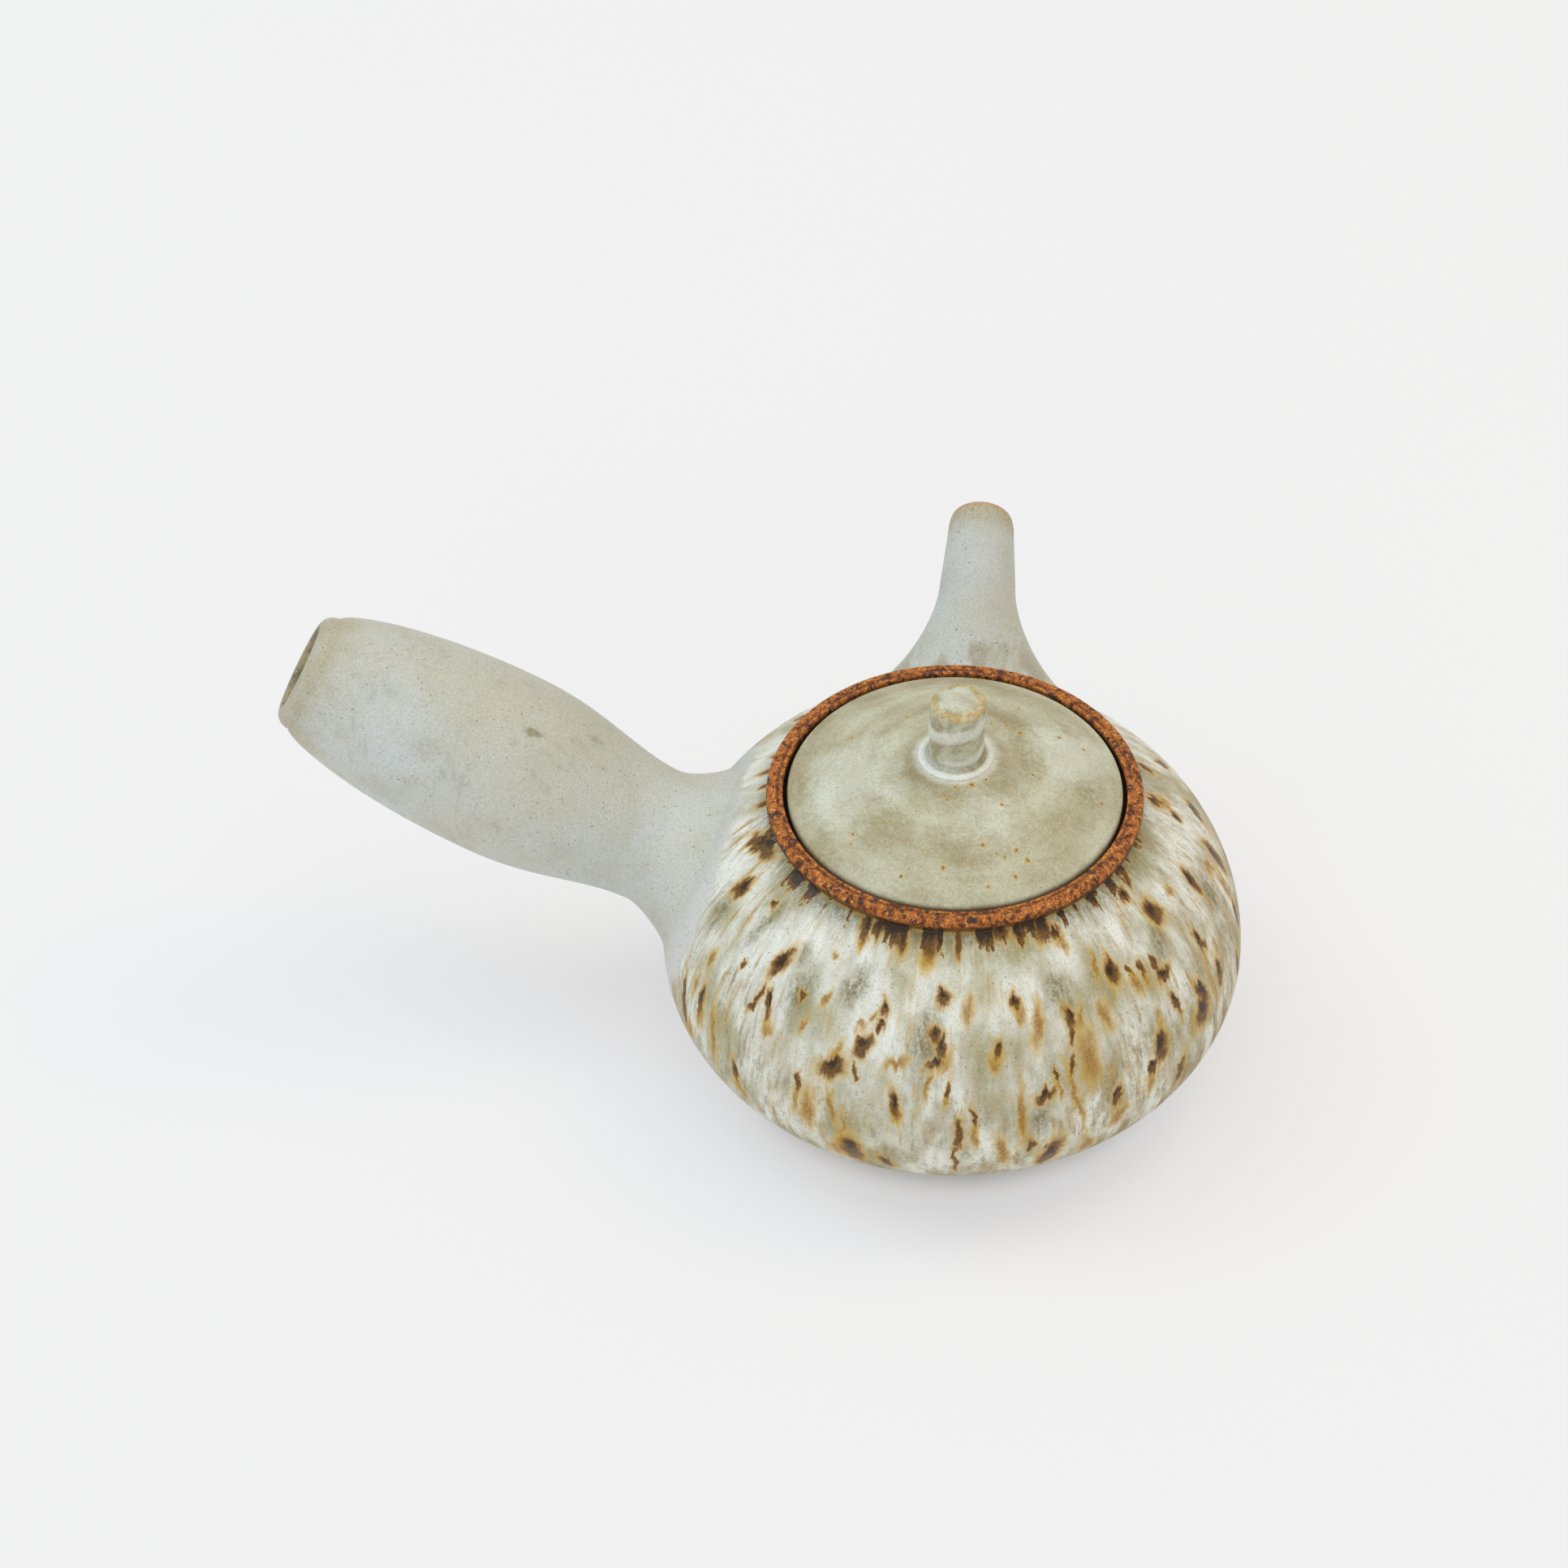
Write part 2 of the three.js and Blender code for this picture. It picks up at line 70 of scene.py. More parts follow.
# The lid, its flange and its knob
LID_GAP = 0.85
LID_EDGE_DROP = 0.3
LID_EDGE_ROUND = 0.9
LID_RISE = 9.65
LID_THICKNESS = 3.2
FLANGE_CLEARANCE = 0.4
FLANGE_THICKNESS = 2.6
FLANGE_DEPTH = 7
FLANGE_ROUND = 0.9
VENT_RADIUS = 1.2
VENT_OFFSET = 11.5
KNOB_HEIGHT = 14.3
KNOB_FOOT_RADIUS = 7.1
KNOB_FOOT_LIP = 0.3
KNOB_FOOT_RISE = 1.3
KNOB_BEAD = 0.9
KNOB_BEAD_TURN = 140
KNOB_BEAD_RISE = 0.45
KNOB_STEM_RADIUS = 5.05
KNOB_HEAD_RADIUS = 5.3
KNOB_HEAD_ROUND = 1.1
KNOB_CROWN = 0.4
KNOB_RIDGE = 0.2
KNOB_RIDGE_COUNT = 1.5
KNOB_RIDGE_ENDS = 0.6
KNOB_LEAN = 0.4

# The handle
HANDLE_AZIMUTH = 173.1
HANDLE_TILT = 24
HANDLE_AXIS_HEIGHT = 14.6
HANDLE_LENGTH = 80.55
HANDLE_TIP_RADIUS = 11.5
HANDLE_CREST_RADIUS = 8.8
HANDLE_LIP_LENGTH = 3
HANDLE_BELLY_RADIUS = 17.7
HANDLE_NECK_RADIUS = 13.1
HANDLE_WALL = 3
HANDLE_MOUTH_RADIUS = 7.6
HANDLE_BELLY_SHARE = 0.54
HANDLE_FULLNESS_SHARE = 0.7
HANDLE_DRAW_SHARE = 1.25
HANDLE_EASING = 1.5
HANDLE_FILLET_LENGTH = 8
HANDLE_FOOT = {"beside": 19, "above": 18, "below": 18, "leave": 0.36, "land": 0.33}

# The spout
SPOUT_AZIMUTH = 90
SPOUT_TILT = 42
SPOUT_AXIS_HEIGHT = 2.2
SPOUT_LENGTH = 31.82
SPOUT_TIP_RADIUS = 5.5
SPOUT_TIP_SWELL = 0.9
SPOUT_TIP_SWELL_LENGTH = 3.6
SPOUT_NECK_RADIUS = 7.3
SPOUT_TIP_WALL = 1.4
SPOUT_WALL = 2.3
SPOUT_CUT_TILT = 27
SPOUT_FILLET_LENGTH = 19.5
SPOUT_FOOT = {"beside": 24, "above": 12.6, "below": 17, "leave": 0.36, "land": 0.6}
OPENING_RADIUS = 9.5
FOOT_TUCK = 0.3
FOOT_TUCK_DEPTHS = (0.2, 2)

# How finely the pieces are cut: facets round them and steps along their stretches
POT_FACETS, LOWER_STEPS, UPPER_STEPS, INNER_STEPS = 264, 70, 90, 50
RIM_OUTER_STEPS, RIM_INNER_STEPS = 8, 5
HANDLE_FACETS, BARREL_STEPS, HANDLE_BORE_STEPS, HANDLE_LIP_STEPS, HANDLE_FOOT_STEPS = 200, 110, 60, 16, 40
SPOUT_FACETS, TUBE_STEPS, SPOUT_BORE_STEPS, TRUMPET_STEPS, SPOUT_FOOT_STEPS = 160, 30, 20, 20, 50
SPOUT_LIP_STEPS, MOUTH_STEPS = 12, 8
LID_FACETS, HOLLOW_STEPS, LID_EDGE_STEPS, DOME_STEPS, VENT_FACETS, FLANGE_FACETS = 300, 40, 12, 90, 48, 200
KNOB_FACETS, BEAD_STEPS, STEM_STEPS, HEAD_STEPS, CROWN_STEPS = 96, 12, 80, 10, 8

# The photograph's camera. Its rise and turn are in degrees, and its scale is taken at the aim
CAMERA_RISE = 43.416
CAMERA_TURN = 5
CAMERA_DISTANCE = 1500
CAMERA_AIM = (-35.14, 34.15, 30)
PHOTO_WIDTH = 1932
PIXELS_PER_MM = 6.361
SENSOR_WIDTH = 36

# What follows from the sizes
GALLERY_RADIUS = RIM_RADIUS - RIM_THICKNESS
THROAT_RADIUS = GALLERY_RADIUS - SEAT_WIDTH
SEAT_HEIGHT = BODY_HEIGHT - SEAT_DEPTH
NECK_RADIUS = RIM_RADIUS - RIM_OVERHANG
NECK_HEIGHT = BODY_HEIGHT - RIM_BAND_HEIGHT
LID_RADIUS = GALLERY_RADIUS - LID_GAP
FLANGE_RADIUS = THROAT_RADIUS - FLANGE_CLEARANCE
LID_EDGE = SEAT_DEPTH - LID_EDGE_DROP
DOME_RADIUS = (LID_RADIUS**2 + LID_RISE**2) / (2 * LID_RISE)
DOME_CENTRE = LID_EDGE + LID_RISE - DOME_RADIUS
KNOB_BASE_HEIGHT = SEAT_HEIGHT + DOME_CENTRE + math.sqrt(DOME_RADIUS**2 - KNOB_FOOT_RADIUS**2)
KNOB_STEM_START = KNOB_FOOT_LIP + KNOB_FOOT_RISE
KNOB_HEAD_START = KNOB_HEIGHT - KNOB_CROWN - KNOB_HEAD_ROUND
SPOUT_CUT_SLOPE = math.tan(math.radians(SPOUT_CUT_TILT))


def belly_share(radius):
    return math.sqrt(1 - (radius / BODY_RADIUS) ** 2)


OUTSIDE = {
    "radius": BODY_RADIUS,
    "above": (NECK_HEIGHT - EQUATOR_HEIGHT) / belly_share(NECK_RADIUS),
    "below": EQUATOR_HEIGHT / belly_share(BASE_RADIUS),
}
INSIDE = {key: size - WALL for key, size in OUTSIDE.items()}


def radius_on(wall, height):
    half = wall["below"] if height < EQUATOR_HEIGHT else wall["above"]
    return wall["radius"] * math.sqrt(1 - ((height - EQUATOR_HEIGHT) / half) ** 2)


def mix(a, b, share):
    return a + (b - a) * share


def shares(count):
    return np.linspace(0, 1, count + 1)


def arc(centre_radius, centre_height, along_radius, along_height, start, end, steps):
    """Points (radius, height) on an arc of an ellipse, both ends included."""
    return [
        (centre_radius + along_radius * math.cos(a), centre_height + along_height * math.sin(a))
        for a in mix(start, end, shares(steps))
    ]


def softened(points, rounds):
    """A line of points with its corners cut back, its ends kept."""
    line = np.array(points, float)
    for _ in range(rounds):
        before, after = line[:-1], line[1:]
        cut = np.stack([mix(before, after, 0.25), mix(before, after, 0.75)], axis=1).reshape(-1, 2)
        line = np.vstack([line[:1], cut, line[-1:]])
    return [tuple(point) for point in line]


def ring_angles(facets):
    return np.arange(facets) / facets * FULL_TURN


def turned(profile, facets, base=0):
    """Rings of points from a (radius, height above the base) profile turned about +Z."""
    angles = ring_angles(facets)
    return [
        np.stack([radius * np.cos(angles), radius * np.sin(angles), np.full(facets, base + height)], axis=1)
        for radius, height in profile
    ]


def added(name, data):
    thing = bpy.data.objects.new(name, data)
    bpy.context.scene.collection.objects.link(thing)
    return thing


def skin(name, rings, first=None, last=None, loop=False):
    """A smooth mesh through rings of points, closed by end points or joined round into a loop."""
    count = len(rings[0])
    points = np.vstack(rings) * MM
    faces = []
    around = np.arange(count)
    beside = (around + 1) % count
    pairs = [(i, i + 1) for i in range(len(rings) - 1)]
    if loop:
        pairs.append((len(rings) - 1, 0))
    for here, there in pairs:
        quads = [here * count + around, here * count + beside, there * count + beside, there * count + around]
        faces += np.stack(quads, axis=1).tolist()
    ends = []
    if first is not None:
        ends.append((first, 0, True))
    if last is not None:
        ends.append((last, len(rings) - 1, False))
    for point, ring, turned_over in ends:
        tip = len(points)
        points = np.vstack([points, np.array(point, float) * MM])
        pair = (beside, around) if turned_over else (around, beside)
        faces += [[tip, a, b] for a, b in zip(ring * count + pair[0], ring * count + pair[1])]
    mesh = bpy.data.meshes.new(name)
    mesh.from_pydata(points.tolist(), [], faces)
    mesh.polygons.foreach_set("use_smooth", np.ones(len(mesh.polygons), bool))
    mesh.update()
    return added(name, mesh)


class Branch:
    """A handle or spout: its own axis out from the pot's axis, with a level side and an upper side."""

    def __init__(self, azimuth, tilt, height):
        turn, rise = math.radians(azimuth), math.radians(tilt)
        level = math.cos(rise)
        self.axis = np.array([level * math.cos(turn), level * math.sin(turn), math.sin(rise)])
        self.side = np.cross([0, 0, 1], self.axis) / level
        self.upper = np.cross(self.axis, self.side)
        self.origin = np.array([0, 0, height])

    def across(self, spread, angles):
        """Points beside the axis at its start."""
        reach = np.broadcast_to(spread, angles.shape)[:, None]
        aside = np.cos(angles)[:, None] * self.side + np.sin(angles)[:, None] * self.upper
        return self.origin + reach * aside

    def wall_distance(self, spread, angles):
        """How far out a line beside the axis leaves the pot's outer wall."""
        start = self.across(spread, angles)

        def leave(half):
            shape = 1 / np.array([BODY_RADIUS, BODY_RADIUS, OUTSIDE[half]])
            p = (start - [0, 0, EQUATOR_HEIGHT]) * shape
            d = self.axis * shape
            slope = p @ d
            steep = d @ d
            return (np.sqrt(slope**2 - steep * ((p * p).sum(axis=1) - 1)) - slope) / steep

        upper = leave("above")
        height = start[:, 2] + upper * self.axis[2]
        return np.where(height >= EQUATOR_HEIGHT, upper, leave("below"))

    def ring(self, angles, spread, distance):
        out = np.broadcast_to(distance, angles.shape)[:, None]
        return self.across(spread, angles) + out * self.axis

    def wall_ring(self, angles, spread, lift=0):
        """A ring on the pot's outer wall, or lifted off it along the axis."""
        return self.ring(angles, spread, self.wall_distance(spread, angles) + lift)

    def foot(self, angles, neck_radius, length, outline, steps):
        """The fillet rings from the tube down to the pot's wall, and where the tube starts."""
        upright = np.where(np.sin(angles) > 0, outline["above"], outline["below"])
        reach = 1 / np.hypot(np.cos(angles) / outline["beside"], np.sin(angles) / upright)
        corners = [(0, 1), (0, 1 - outline["leave"]), (1 - outline["land"], 0), (1, 0)]
        rings = []
        for t in shares(steps):
            weights = [(1 - t) ** 3, 3 * t * (1 - t) ** 2, 3 * t**2 * (1 - t), t**3]
            across = sum(w * c[0] for w, c in zip(weights, corners))
            lift = sum(w * c[1] for w, c in zip(weights, corners))
            rings.append(self.wall_ring(angles, mix(neck_radius, reach, across), length * lift))
        return rings, self.wall_distance(neck_radius, angles) + length


handle_axis = Branch(HANDLE_AZIMUTH, HANDLE_TILT, HANDLE_AXIS_HEIGHT)
spout_axis = Branch(SPOUT_AZIMUTH, SPOUT_TILT, SPOUT_AXIS_HEIGHT)
HANDLE_TIP_ALONG = float(handle_axis.wall_distance(0, np.zeros(1))[0]) + HANDLE_LENGTH
SPOUT_TIP_ALONG = float(spout_axis.wall_distance(0, np.zeros(1))[0]) + SPOUT_LENGTH


def tucked(rings):
    """Two more rings that carry a foot's edge on along the wall and in under it, so no seam shows."""
    onward = rings[-1] - rings[-2]
    onward *= FOOT_TUCK / np.linalg.norm(onward, axis=1)[:, None]
    inward = rings[-1] - [0, 0, EQUATOR_HEIGHT]
    inward *= -FOOT_TUCK / np.linalg.norm(inward, axis=1)[:, None]
    return [rings[-1] + onward + inward * depth for depth in FOOT_TUCK_DEPTHS]


def pot_profile():
    """The pot's section, from the middle of its base up the outside, over the rim and down the inside."""
    base_angle = -math.acos(BASE_RADIUS / OUTSIDE["radius"])
    neck_angle = math.acos(NECK_RADIUS / OUTSIDE["radius"])
    ledge_height = SEAT_HEIGHT - SEAT_THICKNESS
    ledge_angle = math.acos(radius_on(INSIDE, ledge_height) / INSIDE["radius"])
    floor_angle = -math.acos(radius_on(INSIDE, FLOOR_THICKNESS) / INSIDE["radius"])

    def belly(wall, start, end, steps):
        half = wall["below"] if min(start, end) < 0 else wall["above"]
        return arc(0, EQUATOR_HEIGHT, wall["radius"], half, start, end, steps)

    def rounded(centre_radius, size, start, steps):
        return arc(centre_radius, BODY_HEIGHT - size, size, size, start, start + QUARTER_TURN, steps)

    below = belly(OUTSIDE, base_angle, 0, LOWER_STEPS)
    above = belly(OUTSIDE, 0, neck_angle, UPPER_STEPS)[1:]
    groove = [
        (RIM_GROOVE_RADIUS + RIM_GROOVE_WIDTH, BODY_HEIGHT),
        (RIM_GROOVE_RADIUS, BODY_HEIGHT - RIM_GROOVE_DEPTH),
        (RIM_GROOVE_RADIUS - RIM_GROOVE_WIDTH, BODY_HEIGHT),
    ]
    outer_round = rounded(RIM_RADIUS - RIM_OUTER_ROUND, RIM_OUTER_ROUND, 0, RIM_OUTER_STEPS)
    inner_round = rounded(GALLERY_RADIUS + RIM_INNER_ROUND, RIM_INNER_ROUND, QUARTER_TURN, RIM_INNER_STEPS)
    rim = softened(
        [above[-1], (RIM_RADIUS, NECK_HEIGHT + RIM_OVERHANG), *outer_round, *groove, *inner_round,
         (GALLERY_RADIUS, SEAT_HEIGHT), (THROAT_RADIUS, SEAT_HEIGHT), (THROAT_RADIUS, ledge_height)],
        2,
    )
    base = softened([(BASE_RADIUS - BASE_ROUND, 0), below[0], below[1]], 2)
    inner_above = belly(INSIDE, ledge_angle, 0, INNER_STEPS)
    inner_below = belly(INSIDE, 0, floor_angle, INNER_STEPS)[1:]
    return [*base, *below[2:], *above[:-1], *rim, *inner_above, *inner_below]


def make_pot():
    rings = turned(pot_profile(), POT_FACETS)
    return skin("glazed_pot", rings, first=(0, 0, 0), last=(0, 0, FLOOR_THICKNESS))


def make_handle():
    angles = ring_angles(HANDLE_FACETS)
    bore_neck = HANDLE_NECK_RADIUS - HANDLE_WALL
    lip_end = HANDLE_TIP_ALONG - HANDLE_LIP_LENGTH
    fillet, start = handle_axis.foot(
        angles, HANDLE_NECK_RADIUS, HANDLE_FILLET_LENGTH, HANDLE_FOOT, HANDLE_FOOT_STEPS)

    def station(share, tip_radius, belly_radius, neck_radius):
        """The ring at a share of the way from the lip to the neck."""
        if share < HANDLE_BELLY_SHARE:
            left = 1 - share / HANDLE_BELLY_SHARE
            radius = mix(tip_radius, belly_radius, (1 - left**2) ** HANDLE_FULLNESS_SHARE)
        else:
            past = ((share - HANDLE_BELLY_SHARE) / (1 - HANDLE_BELLY_SHARE)) ** HANDLE_DRAW_SHARE
            radius = mix(belly_radius, neck_radius, past * past * (3 - 2 * past))
        return handle_axis.ring(angles, radius, mix(lip_end, start, share))

    outer_radii = (HANDLE_TIP_RADIUS, HANDLE_BELLY_RADIUS, HANDLE_NECK_RADIUS)
    inner_radii = (HANDLE_MOUTH_RADIUS, HANDLE_BELLY_RADIUS - HANDLE_WALL, bore_neck)
    barrel = [station(share**HANDLE_EASING, *outer_radii) for share in shares(BARREL_STEPS)[1:-1]]
    bore = [station(1 - share, *inner_radii) for share in shares(HANDLE_BORE_STEPS)[1:]]
    lip = []
    for turn in shares(HANDLE_LIP_STEPS)[1:] * math.pi:
        side = HANDLE_MOUTH_RADIUS if turn < QUARTER_TURN else HANDLE_TIP_RADIUS
        radius = mix(HANDLE_CREST_RADIUS, side, abs(math.cos(turn)))
        lip.append(handle_axis.ring(angles, radius, lip_end + HANDLE_LIP_LENGTH * math.sin(turn)))
    inner_foot = handle_axis.wall_ring(angles, bore_neck)
    return skin("barrel_handle", [*lip, *barrel, *fillet, *tucked(fillet), inner_foot, *bore], loop=True)


def make_spout():
    angles = ring_angles(SPOUT_FACETS)
    bore_tip = SPOUT_TIP_RADIUS - SPOUT_TIP_WALL
    bore_neck = SPOUT_NECK_RADIUS - SPOUT_WALL
    fillet, start = spout_axis.foot(
        angles, SPOUT_NECK_RADIUS, SPOUT_FILLET_LENGTH, SPOUT_FOOT, SPOUT_FOOT_STEPS)

    def ring(radius, distance):
        return spout_axis.ring(angles, radius, distance)

    def cut_at(spread):
        return SPOUT_TIP_ALONG + spread * np.sin(angles) * SPOUT_CUT_SLOPE

    swollen = SPOUT_TIP_RADIUS + SPOUT_TIP_SWELL
    below_cut = cut_at(swollen) - SPOUT_TIP_SWELL_LENGTH
    tube = [
        ring(mix(swollen, SPOUT_NECK_RADIUS, share), mix(below_cut, start, share))
        for share in shares(TUBE_STEPS)[1:-1]
    ]
    lip = []
    for turn in shares(SPOUT_LIP_STEPS) * QUARTER_TURN:
        radius = mix(SPOUT_TIP_RADIUS, swollen, math.sin(turn))
        lip.append(ring(radius, mix(below_cut, cut_at(SPOUT_TIP_RADIUS), math.cos(turn))))
    mouth = []
    wall_middle = SPOUT_TIP_RADIUS - SPOUT_TIP_WALL / 2
    for turn in shares(MOUTH_STEPS)[1:-1] * math.pi:
        radius = wall_middle - SPOUT_TIP_WALL / 2 * math.cos(turn)
        mouth.append(ring(radius, cut_at(radius) - SPOUT_TIP_WALL / 3 * (1 - math.sin(turn))))
    trumpet = []
    opening = spout_axis.wall_distance(OPENING_RADIUS, angles)
    for turn in (1 - shares(TRUMPET_STEPS)[1:-1]) * QUARTER_TURN:
        lift = (SPOUT_FILLET_LENGTH - SPOUT_WALL) * (1 - math.sin(turn))
        trumpet.append(ring(mix(OPENING_RADIUS, bore_neck, math.cos(turn)), opening + lift))
    bore = [
        ring(mix(bore_neck, bore_tip, share), mix(start, cut_at(bore_tip), share))
        for share in shares(SPOUT_BORE_STEPS)[:-1]
    ]
    outside = [*mouth, *lip, *tube, *fillet, *tucked(fillet)]
    return skin("trumpet_spout", [*outside, ring(OPENING_RADIUS, opening), *trumpet, *bore], loop=True)


def make_lid():
    flange_inside = FLANGE_RADIUS - FLANGE_THICKNESS
    hollow = DOME_RADIUS - LID_THICKNESS
    edge_centre = LID_RADIUS - LID_EDGE_ROUND
    round_angle = math.acos(edge_centre / DOME_RADIUS)
    edge_height = DOME_CENTRE + DOME_RADIUS * math.sin(round_angle) - LID_EDGE_ROUND
    hollow_angle = max(math.acos(flange_inside / hollow), math.asin(-DOME_CENTRE / hollow))
    under = arc(0, DOME_CENTRE, hollow, hollow, QUARTER_TURN, hollow_angle, HOLLOW_STEPS)[1:]
    edge = softened([under[-1], (flange_inside, 0), (edge_centre, 0), (LID_RADIUS, LID_EDGE_ROUND)], 2)
    rounded = arc(edge_centre, edge_height, LID_EDGE_ROUND, LID_EDGE_ROUND, 0, round_angle, LID_EDGE_STEPS)
    top = arc(0, DOME_CENTRE, DOME_RADIUS, DOME_RADIUS, round_angle, QUARTER_TURN, DOME_STEPS)[1:-1]
    rings = turned([*under[:-1], *edge, *rounded, *top], LID_FACETS, SEAT_HEIGHT)
    hollow_top, dome_top = ((0, 0, SEAT_HEIGHT + DOME_CENTRE + radius) for radius in (hollow, DOME_RADIUS))
    lid = skin("domed_lid", rings, first=hollow_top, last=dome_top)
    drill_reach = LID_RISE + LID_EDGE
    bpy.ops.mesh.primitive_cylinder_add(
        vertices=VENT_FACETS, radius=VENT_RADIUS * MM, depth=2 * drill_reach * MM,
        location=(0, VENT_OFFSET * MM, (SEAT_HEIGHT + drill_reach) * MM),
    )
    drill = bpy.context.object
    bore = lid.modifiers.new("vent", "BOOLEAN")
    bore.operation, bore.object, bore.solver = "DIFFERENCE", drill, "EXACT"
    bpy.context.view_layer.update()
    bored = bpy.data.meshes.new_from_object(lid.evaluated_get(bpy.context.evaluated_depsgraph_get()))
    lid.modifiers.clear()
    lid.data = bored
    bpy.data.objects.remove(drill)
    return lid


def make_flange():
    inside = FLANGE_RADIUS - FLANGE_THICKNESS
    profile = softened(
        [(FLANGE_RADIUS, -FLANGE_ROUND), (FLANGE_RADIUS, 0), (inside, 0), (inside, -FLANGE_DEPTH),
         (FLANGE_RADIUS - FLANGE_ROUND, -FLANGE_DEPTH), (FLANGE_RADIUS, FLANGE_ROUND - FLANGE_DEPTH),
         (FLANGE_RADIUS, -FLANGE_ROUND)],
        3,
    )[:-1]
    return skin("lid_ring", turned(profile[::-1], FLANGE_FACETS, SEAT_HEIGHT), loop=True)


def make_knob():
    """A drum knob with one throwing ridge that climbs it as a helix, leaning a little as it rises."""
    head_centre = KNOB_HEAD_RADIUS - KNOB_HEAD_ROUND
    bead_centre = KNOB_FOOT_RADIUS - KNOB_BEAD
    angles = ring_angles(KNOB_FACETS)
    bead_end = math.radians(KNOB_BEAD_TURN)
    foot = arc(bead_centre, KNOB_FOOT_LIP, KNOB_BEAD, KNOB_BEAD_RISE, 0, bead_end, BEAD_STEPS)
    foot = softened([*foot, (KNOB_STEM_RADIUS, KNOB_BEAD), (KNOB_STEM_RADIUS, KNOB_STEM_START)], 2)
    head = arc(head_centre, KNOB_HEAD_START, KNOB_HEAD_ROUND, KNOB_HEAD_ROUND, 0, QUARTER_TURN, HEAD_STEPS)

    def ring(radius, height):
        lean = KNOB_LEAN * (height / KNOB_HEIGHT) ** 2
        level = np.full(angles.shape, height + KNOB_BASE_HEIGHT)
        return np.stack([radius * np.cos(angles) + lean, radius * np.sin(angles), level], axis=1)

    stem = []
    for share in shares(STEM_STEPS)[1:]:
        ridge = KNOB_RIDGE * math.sin(share * math.pi) ** KNOB_RIDGE_ENDS
        climb = share * KNOB_RIDGE_COUNT * FULL_TURN
        radius = mix(KNOB_STEM_RADIUS, KNOB_HEAD_RADIUS, share) + ridge * np.sin(climb - angles)
        stem.append(ring(radius, mix(KNOB_STEM_START, KNOB_HEAD_START, share)))
    crown = [
        ring(head_centre * math.cos(share * QUARTER_TURN), mix(KNOB_HEIGHT - KNOB_CROWN, KNOB_HEIGHT, share))
        for share in shares(CROWN_STEPS)[1:-1]
    ]
    foot_edge = [(KNOB_FOOT_RADIUS, 0), (KNOB_FOOT_RADIUS, KNOB_FOOT_LIP / 2)]
    lower, upper = ([ring(*point) for point in line] for line in ([*foot_edge, *foot], head[1:]))
    bottom, top = (0, 0, KNOB_BASE_HEIGHT), (KNOB_LEAN, 0, KNOB_BASE_HEIGHT + KNOB_HEIGHT)
    return skin("thrown_knob", [*lower, *stem, *upper, *crown], first=bottom, last=top)


class Value:
    """A shader socket that works in sums as a number does."""

    def __init__(self, coat, socket):
        self.coat = coat
        self.socket = socket

    def maths(self, operation, *others):
        return self.coat.maths(operation, self, *others)

    def __add__(self, other):
        return self.maths("ADD", other)

    def __sub__(self, other):
        return self.maths("SUBTRACT", other)

    def __rsub__(self, other):
        return self.coat.maths("SUBTRACT", other, self)

    def __mul__(self, other):
        return self.maths("MULTIPLY", other)

    def __truediv__(self, other):
        return self.maths("DIVIDE", other)

    def __rtruediv__(self, other):
        return self.coat.maths("DIVIDE", other, self)

    def __pow__(self, other):
        return self.maths("POWER", other)

    __radd__ = __add__
    __rmul__ = __mul__

    def at_most(self, other):
        return self.maths("MINIMUM", other)

    def at_least(self, other):
        return self.maths("MAXIMUM", other)

    def fade(self, start, end):
        """0 before start and 1 past end, smoothly between them. It falls where end is the lower."""
        settings = {"interpolation_type": "SMOOTHSTEP"}
        low, high, begin, finish = (start, end, 0, 1) if start < end else (end, start, 1, 0)
        given = {"Value": self, "From Min": low, "From Max": high, "To Min": begin, "To Max": finish}
        return self.coat.node("MapRange", settings, given)

    def under(self, share, above):
        """This colour with another laid over it."""
        return self.coat.blend(share, self, above)


def tint(red, green, blue):
    """A colour given as it looks on screen, from 0 to 255, as the shader takes it."""
    linear = [((c / 255 + 0.055) / 1.055) ** 2.4 if c > 10 else c / 255 / 12.92 for c in (red, green, blue)]
    return (*linear, 1)


